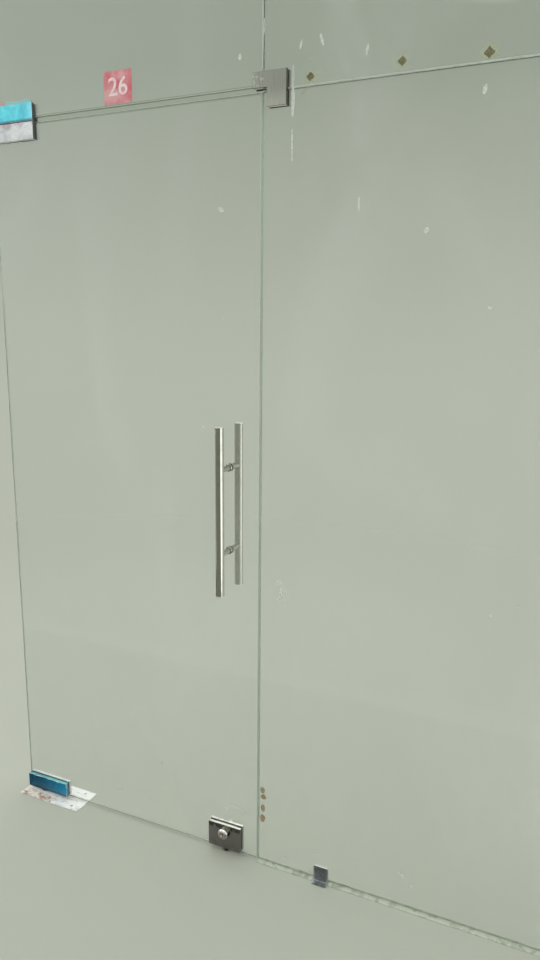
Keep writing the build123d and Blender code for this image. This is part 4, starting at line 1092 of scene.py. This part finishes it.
class ENTRANCE_OT_sticker(bpy.types.Operator):
    """Finish the sticker and print plain numbers on it"""

    bl_idname = "entrance.sticker"
    bl_label = "Sticker"

    def execute(self, context):
        settings = context.scene.entrance_traces
        vinyl = Finish("sticker vinyl", settings.vinyl, 0.3)
        faded = vinyl.cloud(28.0, 4.0)
        vinyl.paint(faded, 0.38, 0.64, settings.vinyl, (0.74, 0.38, 0.39))
        vinyl.dull(faded, 0.3, 0.7, 0.25, 0.45)
        dress(vinyl, "number_sticker")
        printed = Finish("sticker print", (0.9, 0.74, 0.74), 0.4)
        printed.paint(printed.cloud(90.0, 4.0), 0.4, 0.66, (0.92, 0.78, 0.78), (0.85, 0.6, 0.62))
        add_piece("sticker_digits", self.digits(context, settings), "root", "sticker_vinyl", printed)
        return {"FINISHED"}

    def digits(self, context, settings):
        """The number as thin raised digits on the middle of the sticker."""
        height_of_size, raised = 0.7, 0.06 * MM
        digits = bpy.data.curves.new("digits", "FONT")
        digits.body = settings.number
        digits.size = settings.number_height / height_of_size
        digits.align_x = "CENTER"
        digits.align_y = "CENTER"
        digits.extrude = 0.08 * MM
        digits.offset = 0.6 * MM
        digits.resolution_u = 8
        holder = bpy.data.objects.new("digits", digits)
        context.scene.collection.objects.link(holder)
        graph = context.evaluated_depsgraph_get()
        mesh = bpy.data.meshes.new_from_object(holder.evaluated_get(graph))
        bpy.data.objects.remove(holder)
        low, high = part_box("number_sticker")
        middle = (low + high) / 2
        stand = Matrix.Translation((middle.x, low.y - raised, middle.z))
        mesh.transform(stand @ Matrix.Rotation(math.radians(90), 4, "X"))
        mesh.materials.clear()
        return mesh


def smudge_finish(name, colour, hidden, thin=0.35):
    """Something thin and dry on the glass. Thin is how much of it is left in its worn places."""
    finish = Finish(name, colour, 0.6)
    patchy = finish.cloud(160.0, 5.0, distortion=0.6)
    finish.link(finish.ranged(patchy, 0.35, 0.6, hidden * thin, hidden), finish.inputs["Alpha"])
    finish.paint(patchy, 0.4, 0.7, colour, shade(colour, 0.8))
    return finish


def blot(bm, x, z, wide, tall, turn, corners, seed, y):
    """A flat closed blot on the front of the glass: round, or with that many corners."""
    points, wobble, waves = 28, 0.16, 1.7
    sunk, proud, inset = 0.02 * MM, 0.12 * MM, 0.82
    rings = []
    for depth, reach in ((-sunk, 1.0), (proud, inset)):
        ring = []
        for step in range(points):
            angle = 2 * math.pi * step / points
            across, up = math.cos(angle), math.sin(angle)
            radius = 1.0
            if corners:
                sector = math.pi / corners
                radius = math.cos(sector) / math.cos(angle % (2 * sector) - sector)
            radius *= reach * (1 + wobble * noise.noise(Vector((across, up, seed)) * waves))
            flat = Vector((across * radius * wide / 2, 0, up * radius * tall / 2))
            flat.rotate(Matrix.Rotation(turn, 3, "Y"))
            ring.append(bm.verts.new(Vector((x, y - depth, z)) + flat))
        rings.append(ring)
    back, front = rings
    bm.faces.new(back)
    bm.faces.new(list(reversed(front)))
    join_rings(bm, front, back)


def blots(name, body, finish, rows, seed=(1, 1), corners=0, y=glass_front, more=None):
    """One piece of blots, each row with a place, a width and a height in millimetres and a turn.
    Seed is how much x and z each count in a blot's outline, and more adds to the piece."""
    bm = bmesh.new()
    for x, z, wide, tall, turn in rows:
        outline = seed[0] * x + seed[1] * z
        blot(bm, x * MM, z * MM, wide * MM, tall * MM, turn, corners, outline, y)
    if more:
        more(bm)
    add_piece(name, mesh_from(bm, f"{name}_mesh"), body, "clear_glass", finish)


class ENTRANCE_OT_glass_marks(bpy.types.Operator):
    """Stick tape, glue, streaks and dried smears to the panes"""

    bl_idname = "entrance.glass_marks"
    bl_label = "Marks on the glass"

    def execute(self, context):
        self.tape()
        self.streaks()
        self.leaf_smears()
        self.corner_dabs()
        return {"FINISHED"}

    def corner_dabs(self):
        """Ragged pale dabs of filler on the end of the corner fitting's arm."""
        dabs = (
            (815, 2225, 5, 14, 0.2),
            (816, 2209, 6, 17, -0.1),
            (824, 2221, 10, 6, 0.4),
            (837, 2215, 14, 6, 0.1),
            (826, 2201, 12, 4, 0.0),
        )
        filler = smudge_finish("pale filler", (0.75, 0.8, 0.7), 0.5)
        blots("corner_dabs", "root", filler, dabs, y=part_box("corner_patch_front")[0].y)

    def tape(self):
        """Amber squares along the sidelight's joint, set on a corner, and brown glue at its foot."""
        squares = [
            (x, z, wide, wide, 0.1 * math.sin(x))
            for x, z, wide in ((963, 2209, 23), (1190, 2215, 23), (1386, 2208, 26))
        ]
        amber = smudge_finish("amber tape", (0.17, 0.155, 0.035), 0.82, thin=0.6)
        blots("amber_tape", "root", amber, squares, seed=(1, 0), corners=4)
        halos = (
            (966, 2209, 44, 34, 0.0),
            (952, 2181, 34, 9, -0.6),
            (1190, 2216, 40, 36, 0.0),
            (1386, 2210, 48, 38, 0.0),
        )
        under_tape = glass_front + 0.05 * MM
        residue = smudge_finish("tape residue", (0.62, 0.68, 0.3), 0.15, thin=0.2)
        blots("tape_residue", "root", residue, halos, seed=(1, 0), y=under_tape)
        spots = (
            (849, 246, 15, 20, 0.0),
            (852, 224, 17, 17, 0.0),
            (851, 186, 15, 24, 0.0),
            (850, 152, 16, 26, 0.0),
        )
        glue = smudge_finish("brown glue", (0.42, 0.32, 0.17), 0.85, thin=0.6)
        blots("brown_glue", "root", glue, spots, seed=(0, 1))

    def streaks(self):
        """Pale streaks and dabs on the sidelight and the pane above the leaf."""
        streaks = (
            (937, 2284, 6, 22, 0.2),
            (991, 2287, 7, 30, -0.3),
            (1105, 2251, 6, 26, 0.15),
            (917, 2060, 4, 90, -0.01),
            (1381, 2134, 9, 22, 0.2),
            (838, 2335, 5, 46, 0.05),
            (771, 2277, 9, 16, 0.0),
            (1096, 1908, 5, 40, 0.0),
            (1266, 1840, 10, 16, 0.9),
            (1423, 1661, 11, 9, 0.0),
            (1474, 912, 9, 12, 0.3),
            (893, 912, 26, 9, 0.2),
            (906, 890, 20, 13, 0.7),
            (897, 868, 14, 30, 0.3),
            (915, 861, 18, 11, 1.2),
            (921, 884, 8, 22, 0.5),
            (926, 46, 9, 8, 0.0),
            (1023, 92, 8, 8, 0.0),
            (1284, 107, 22, 13, 0.4),
            (1312, 80, 10, 9, 0.0),
        )
        white = smudge_finish("white smear", (0.95, 1.0, 0.92), 0.6, thin=0.15)
        blots("white_smears", "root", white, streaks)
        runs = (
            (917, 2182, 6, 112, 0.02),
            (920, 2150, 4, 60, 0.06),
            (918, 2215, 5, 50, -0.03),
        )
        run = smudge_finish("white run", (0.93, 1.0, 0.9), 0.6, thin=0.6)
        blots("white_run", "root", run, runs, seed=(0, 1))

    def leaf_smears(self):
        """Dabs on the leaf and a dried ring over the lock."""
        dabs = (
            (715, 1915, 22, 12, 0.5),
            (658, 1332, 8, 8, 0.0),
            (720, 1636, 6, 7, 0.0),
            (324, 101, 16, 9, 0.4),
            (492, 239, 7, 7, 0.0),
        )
        white = smudge_finish("leaf smear", (0.9, 0.96, 0.88), 0.45)
        blots("leaf_smears", "door", white, dabs, more=self.dried_ring)

    def dried_ring(self, bm):
        """An arc like the foot of a cup, widest in its middle."""
        middle, mean_radius, width = Vector((760 * MM, 0, 146 * MM)), 30 * MM, 6 * MM
        widened, flattened = 1.1, 0.6

        def surface(depth):
            def place(u, v):
                angle = math.radians(200 * u - 10)
                radius = mean_radius + (v - 0.5) * width * (0.4 + math.sin(math.pi * u))
                flat = Vector((math.cos(angle) * radius * widened, 0, math.sin(angle) * radius * flattened))
                return middle + flat + Vector((0, glass_front - depth, 0))

            return place

        closed_sheet(bm, 40, 3, surface(0.1 * MM), surface(-0.02 * MM))


class ENTRANCE_OT_specks(bpy.types.Operator):
    """Scatter specks of paint and plaster over the panes"""

    bl_idname = "entrance.specks"
    bl_label = "Specks"

    def execute(self, context):
        settings = context.scene.entrance_traces
        finish = Finish("dried specks", (0.66, 0.7, 0.62), 0.7)
        finish.paint(finish.cloud(3.0, 2.0), 0.45, 0.55, (0.72, 0.75, 0.68), (0.3, 0.3, 0.24))
        values = {
            "Density": settings.speck_density,
            "Smallest": 0.5 * MM,
            "Largest": settings.speck_size,
            "Flatness": 0.25,
            "Ruggedness": 0.5 * MM,
        }
        edge, dusty_width = 20 * MM, 1.0
        for number, (node, body) in enumerate(zip(PANES, ("door", "root", "root", "root"))):
            low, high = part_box(node)
            right = min(high.x, sidelight_low.x + dusty_width)
            foot = max(low.z, 0) + edge
            outline = [
                (low.x + edge, low.y, foot),
                (right - edge, low.y, foot),
                (right - edge, low.y, high.z - edge),
                (low.x + edge, low.y, high.z - edge),
            ]
            mesh = scattered(f"{node}_specks", outline, finish, settings.seed + 10 * number, values)
            add_piece(f"{node}_specks", mesh, body, "clear_glass")
        return {"FINISHED"}


class ENTRANCE_OT_mortar(bpy.types.Operator):
    """Leave mortar and crumbs on the floor spring's cover plate"""

    bl_idname = "entrance.mortar"
    bl_label = "Mortar"

    def execute(self, context):
        settings = context.scene.entrance_traces
        low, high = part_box("cover_plate")
        finish = Finish("mortar", (0.5, 0.42, 0.33), 0.9)
        lump = finish.cloud(55.0, 6.0)
        grain = finish.cloud(600.0, 3.0)
        brown = finish.mixed(finish.ranged(lump, 0.46, 0.6), (0.9, 0.86, 0.76), (0.52, 0.34, 0.25))
        finish.paint(grain, 0.5, 0.78, brown, (0.16, 0.12, 0.08))
        finish.bump(grain, 0.4 * MM, 0.8)
        wide, deep, thick = 165 * MM, 36 * MM, 5.5 * MM
        worn, sunk = 0.3 * MM, 0.02 * MM

        def height(u, v):
            x, y = low.x + u * wide, low.y + v * deep
            fade = (1 - ramp(u, 0.1, 1.0)) * (1 - ramp(v, 0.3 + 0.5 * (1 - u), 1.0))
            lumps, pits = 0.7 * ripple(x, y, 110, 2.0), 0.5 * ripple(x, y, 330, 6.0)
            return thick * max(0.0, fade) * (0.5 + lumps + pits) - worn

        def top(u, v):
            return Vector((low.x + u * wide, low.y + v * deep, high.z + max(sunk, height(u, v))))

        def bottom(u, v):
            return Vector((low.x + u * wide, low.y + v * deep, high.z - sunk))

        bm = bmesh.new()
        closed_sheet(bm, 110, 30, top, bottom, keep=lambda u, v: height(u, v) > 0)
        smear = mesh_from(bm, "mortar_smear_mesh", smooth=True)
        add_piece("mortar_smear", smear, "root", "floor_sealant", finish)
        outline = [
            (low.x, low.y, high.z),
            (low.x + 0.8 * wide, low.y, high.z),
            (low.x + 0.5 * wide, low.y + 0.5 * deep, high.z),
            (low.x, low.y + 1.3 * deep, high.z),
        ]
        values = {
            "Density": settings.crumb_density,
            "Smallest": 0.4 * MM,
            "Largest": settings.crumb_size,
            "Flatness": 0.7,
            "Ruggedness": 1.2 * MM,
        }
        crumbs = scattered("crumbs", outline, finish, settings.seed, values)
        add_piece("mortar_crumbs", crumbs, "root", "floor_sealant")
        return {"FINISHED"}


class ENTRANCE_OT_sealant(bpy.types.Operator):
    """Run uneven beads of sealant along the sidelight's foot"""

    bl_idname = "entrance.sealant"
    bl_label = "Sealant"

    def execute(self, context):
        colour = context.scene.entrance_glass.sealant
        finish = Finish("sealant", colour, 0.55)
        dirt = finish.cloud(55.0, 5.0, distortion=0.6)
        finish.paint(dirt, 0.46, 0.66, colour, (0.3, 0.33, 0.26))
        finish.bump(dirt, 0.6 * MM, 0.7)
        bm = bmesh.new()
        for solid in separate_solids(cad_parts["floor_silicone"]):
            self.bead(bm, *corners_of(solid))
        mesh = mesh_from(bm, "sealant_beads_mesh", smooth=True)
        add_piece("sealant_beads", mesh, "root", "floor_sealant", finish, replaces=("floor_silicone",))
        return {"FINISHED"}

    def bead(self, bm, low, high):
        """A bead in the corner between the glass and the floor, wider and narrower by turns."""
        side = -1 if low.y < 0 else 1
        glass = (high.y if side < 0 else low.y) + side * 0.05 * MM
        run = high.x - low.x
        tall, out = high.z, abs(high.y - low.y)
        steps, arc = max(8, round(run / (3 * MM))), 6
        usual, broad, fine = 1.5, 0.3, 0.12
        rings = []

        def hollow(part):
            return 1 - 0.75 * part - 0.25 * part**2

        for step in range(steps + 1):
            x = low.x + run * step / steps
            grow = usual + broad * ripple(x, 0, 30, side) + fine * ripple(x, 0, 150, side + 4)
            corner = bm.verts.new((x, glass, 0))
            curve = []
            for turn in range(arc + 1):
                angle = math.pi / 2 * turn / arc
                y = glass + side * out * grow * hollow(math.sin(angle))
                z = tall * grow * hollow(math.cos(angle))
                curve.append(bm.verts.new((x, y, z)))
            rings.append([corner, *curve])
        for first, second in zip(rings, rings[1:]):
            join_rings(bm, first, second)
        bm.faces.new(rings[0])
        bm.faces.new(list(reversed(rings[-1])))


class ENTRANCE_OT_studio(bpy.types.Operator):
    """Build the floor, the backdrop, the lamps and the camera"""

    bl_idname = "entrance.studio"
    bl_label = "Studio"

    def execute(self, context):
        settings = context.scene.entrance_studio
        finish = self.backdrop_finish(settings)
        self.floor(context, finish)
        self.bowl(context, finish)
        self.cards(context)
        self.lamps(context)
        self.camera(context, settings)
        world = bpy.data.worlds.new("Studio")
        world.use_nodes = True
        world.node_tree.nodes["Background"].inputs["Color"].default_value = (1, 1, 1, 1)
        world.node_tree.nodes["Background"].inputs["Strength"].default_value = settings.sky
        context.scene.world = world
        context.scene.view_settings.view_transform = "Standard"
        return {"FINISHED"}

    def backdrop_finish(self, settings):
        """Matt floor near the door, and further off a plain colour that needs no lamp."""
        finish = Finish("studio backdrop", settings.floor, 0.9)
        finish.inputs["Specular IOR Level"].default_value = 0.2
        path = finish.add("ShaderNodeLightPath").outputs
        seen = finish.maths("MAXIMUM", path["Is Camera Ray"], path["Is Glossy Ray"])
        seen = finish.maths("MAXIMUM", seen, path["Is Transmission Ray"])
        far = finish.ranged(finish.distance((0, 0, 0)), 2.2, 3.9)
        plain = finish.mixed(finish.ranged(finish.along("Z"), 0.8, 5.5), settings.floor, settings.upper)
        direct = finish.maths("SUBTRACT", path["Is Glossy Ray"], path["Is Transmission Ray"])
        behind_glass = finish.maths("GREATER_THAN", path["Transmission Depth"], 2.5)
        mirrored = finish.maths("MAXIMUM", direct, behind_glass)
        window_place = (-6.8, -7.4, 4.6)
        glow_there = finish.ranged(finish.distance(window_place), 1.4, 4.4, 1.0, 0.0)
        window = finish.maths("MULTIPLY", mirrored, glow_there)
        in_front = finish.ranged(finish.along("Y"), -0.9, -1.3)
        low_down = finish.ranged(finish.along("Z"), 0.9, 1.8, 1.0, 0.0)
        mirrored = finish.maths("MULTIPLY", mirrored, finish.maths("MULTIPLY", in_front, low_down))
        glow = finish.add("ShaderNodeEmission")
        toned = finish.mixed(mirrored, plain, settings.mirrored)
        finish.link(finish.mixed(window, toned, settings.window), glow.inputs["Color"])
        factor = finish.maths("MAXIMUM", finish.maths("MULTIPLY", far, seen), mirrored)
        finish.blend(finish.maths("MAXIMUM", factor, window), glow.outputs["Emission"])
        return finish

    def stand(self, context, name, mesh, finish, **visible):
        """Puts a piece of the stage in the scene. Visible names the rays that don't see it."""
        thing = bpy.data.objects.new(name, mesh)
        thing.data.materials.append(finish.material)
        for ray, seen in visible.items():
            setattr(thing, ray, seen)
        context.scene.collection.objects.link(thing)

    def floor(self, context, finish):
        """A floor with openings over the parts that are let into it."""
        half, level, lip, cup_in = 4.0, -0.5 * MM, 1 * MM, 5 * MM
        pit_low, pit_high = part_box("floor_box")
        cup_low, cup_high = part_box("bolt_strike")
        xs = [-half, pit_low.x + lip, pit_high.x - lip, cup_low.x + cup_in, cup_high.x - cup_in, half]
        ys = [-half, pit_low.y + lip, cup_low.y + cup_in, cup_high.y - cup_in, pit_high.y - lip, half]
        bm = bmesh.new()
        grid = [[bm.verts.new((x, y, level)) for y in ys] for x in xs]
        for i in range(len(xs) - 1):
            for j in range(len(ys) - 1):
                over_pit = i == 1 and j in (1, 2, 3)
                over_cup = i == 3 and j == 2
                if not over_pit and not over_cup:
                    bm.faces.new([grid[i][j], grid[i + 1][j], grid[i + 1][j + 1], grid[i][j + 1]])
        self.stand(context, "studio_floor", mesh_from(bm, "studio_floor_mesh"), finish)

    def bowl(self, context, finish):
        """A round backdrop that rises behind the floor on every side and stops no light."""
        inner, flat, bend, wall_top, steps, around = 3.9, 2.1, 4.0, 20.0, 24, 96
        level, wall = -0.6 * MM, inner + flat + bend
        profile = [(inner, level), (inner + flat, level)]
        for step in range(1, steps + 1):
            angle = math.pi / 2 * step / steps
            profile.append((inner + flat + bend * math.sin(angle), bend * (1 - math.cos(angle))))
        profile.append((wall, wall_top))
        bm = bmesh.new()
        rings = []
        for radius, z in profile:
            turns = [2 * math.pi * k / around for k in range(around)]
            rings.append([bm.verts.new((radius * math.cos(a), radius * math.sin(a), z)) for a in turns])
        for lower, upper in zip(rings, rings[1:]):
            join_rings(bm, upper, lower)
        mesh = mesh_from(bm, "studio_backdrop_mesh", smooth=True)
        self.stand(context, "studio_backdrop", mesh, finish, visible_diffuse=False, visible_shadow=False)

    def cards(self, context):
        """Dark cards that only polished surfaces see, as a photographer hangs them."""
        blind = ("camera", "diffuse", "transmission", "shadow", "volume_scatter")
        hidden = {f"visible_{ray}": False for ray in blind}
        left, right, level = -2.0, 3.0, 0.5 * MM
        for name, tone, front, back in (
            ("near_card", (0.15, 0.145, 0.13), -0.11, -0.028),
            ("far_card", (0.03, 0.03, 0.028), -1.1, -0.11),
        ):
            mesh = bpy.data.meshes.new(name)
            corners = [(left, front, level), (right, front, level), (right, back, level), (left, back, level)]
            mesh.from_pydata(corners, [], [(0, 1, 2, 3)])
            self.stand(context, name, mesh, Finish(name.replace("_", " "), tone, 0.9), **hidden)

    def lamps(self, context):
        """Soft lamps overhead, in front and high behind the door, and small ones that only steel mirrors."""
        steel_only = ("transmission", "diffuse")
        for name, power, place, aim, wide, tall, unseen in (
            ("top_lamp", 78.0, (-1.0, 1.2, 4.8), (0.2, 0.0, 1.0), 5.0, 3.0, ("transmission",)),
            ("front_lamp", 46.0, (3.6, -3.4, 3.6), (0.6, 0.0, 1.2), 2.2, 1.6, ("transmission", "glossy")),
            ("ceiling_lamp", 38.0, (1.0, -2.1, 3.6), (0.8, 0.0, 0.5), 0.9, 0.9, steel_only),
            ("left_lamp", 13.0, (-1.8, -0.9, 1.45), (0.72, 0.0, 0.05), 0.5, 0.5, steel_only),
            ("front_strip", 9.0, (2.75, -0.75, 0.72), (0.74, -0.06, 0.9), 1.4, 1.4, steel_only),
            ("rear_strip", 5.5, (2.8, 0.6, 0.76), (0.74, 0.06, 0.9), 1.0, 1.5, steel_only),
            ("back_lamp", 125.0, (-3.8, 7.6, 8.1), (0.5, 0.0, 0.3), 9.0, 3.0, ()),
        ):
            lamp = bpy.data.lights.new(name, "AREA")
            lamp.shape = "RECTANGLE"
            lamp.size, lamp.size_y = wide, tall
            lamp.energy = power
            if unseen == steel_only:
                self.soften(lamp)
            holder = bpy.data.objects.new(name, lamp)
            holder.location = place
            holder.rotation_euler = (Vector(aim) - Vector(place)).to_track_quat("-Z", "Y").to_euler()
            for ray in ("camera", *unseen):
                setattr(holder, f"visible_{ray}", False)
            context.scene.collection.objects.link(holder)

    def soften(self, lamp):
        """Widens a lamp and fades it towards its rim, so that the glass mirrors no hard edge."""
        wider, fades_from, rim = 1.36, 0.3, 0.5
        lamp.size, lamp.size_y = wider * lamp.size, wider * lamp.size_y
        lamp.energy *= wider**2
        lamp.use_nodes = True
        nodes, links = lamp.node_tree.nodes, lamp.node_tree.links
        place = nodes.new("ShaderNodeNewGeometry")
        away = nodes.new("ShaderNodeVectorMath")
        away.operation = "DISTANCE"
        away.inputs[1].default_value = (0.5, 0.5, 0.0)
        links.new(place.outputs["Parametric"], away.inputs[0])
        fade = nodes.new("ShaderNodeMapRange")
        fade.interpolation_type = "SMOOTHSTEP"
        for label, value in (("From Min", fades_from), ("From Max", rim), ("To Min", 1.0), ("To Max", 0.0)):
            fade.inputs[label].default_value = value
        links.new(away.outputs["Value"], fade.inputs["Value"])
        links.new(fade.outputs["Result"], nodes["Emission"].inputs["Strength"])

    def camera(self, context, settings):
        """The place and turn from which the entrance was photographed."""
        place, yaw, down, roll = Vector((1.7089, -1.8409, 1.6146)), 24.706, 11.574, 0.506
        lens = bpy.data.cameras.new("camera")
        lens.sensor_width = 36.0
        lens.lens = settings.lens
        lens.clip_start = 0.01
        holder = bpy.data.objects.new("camera", lens)
        turn = (
            Matrix.Rotation(math.radians(yaw), 4, "Z")
            @ Matrix.Rotation(math.radians(90 - down), 4, "X")
            @ Matrix.Rotation(math.radians(roll), 4, "Z")
        )
        holder.matrix_world = Matrix.Translation(place) @ turn
        context.scene.collection.objects.link(holder)
        context.scene.camera = holder


OPERATORS = (
    ENTRANCE_OT_glass,
    ENTRANCE_OT_channels,
    ENTRANCE_OT_fittings,
    ENTRANCE_OT_lock,
    ENTRANCE_OT_screws,
    ENTRANCE_OT_films,
    ENTRANCE_OT_film_remains,
    ENTRANCE_OT_sticker,
    ENTRANCE_OT_glass_marks,
    ENTRANCE_OT_specks,
    ENTRANCE_OT_mortar,
    ENTRANCE_OT_sealant,
    ENTRANCE_OT_studio,
)
SETTINGS = {
    "entrance_glass": EntranceGlassSettings,
    "entrance_metal": EntranceMetalSettings,
    "entrance_film": EntranceFilmSettings,
    "entrance_traces": EntranceTraceSettings,
    "entrance_studio": EntranceStudioSettings,
}


class ENTRANCE_PT_panel(bpy.types.Panel):
    """Lists the entrance's settings and steps in the sidebar"""

    bl_idname = "ENTRANCE_PT_panel"
    bl_label = "Glass entrance"
    bl_space_type = "VIEW_3D"
    bl_region_type = "UI"
    bl_category = "Entrance"

    def draw(self, context):
        for name, group in SETTINGS.items():
            box = self.layout.box()
            box.label(text=group.__doc__)
            for key in group.__annotations__:
                box.prop(getattr(context.scene, name), key)
        for operator in OPERATORS:
            self.layout.operator(operator.bl_idname)


def register():
    for group in SETTINGS.values():
        bpy.utils.register_class(group)
    for name, group in SETTINGS.items():
        setattr(bpy.types.Scene, name, PointerProperty(type=group))
    for operator in OPERATORS:
        bpy.utils.register_class(operator)
    bpy.utils.register_class(ENTRANCE_PT_panel)


def unregister():
    bpy.utils.unregister_class(ENTRANCE_PT_panel)
    for operator in reversed(OPERATORS):
        bpy.utils.unregister_class(operator)
    for name in SETTINGS:
        delattr(bpy.types.Scene, name)
    for group in reversed(SETTINGS.values()):
        bpy.utils.unregister_class(group)


def main():
    register()
    for operator in OPERATORS:
        group, step = operator.bl_idname.split(".")
        getattr(getattr(bpy.ops, group), step)()


if __name__ == "__main__":
    main()
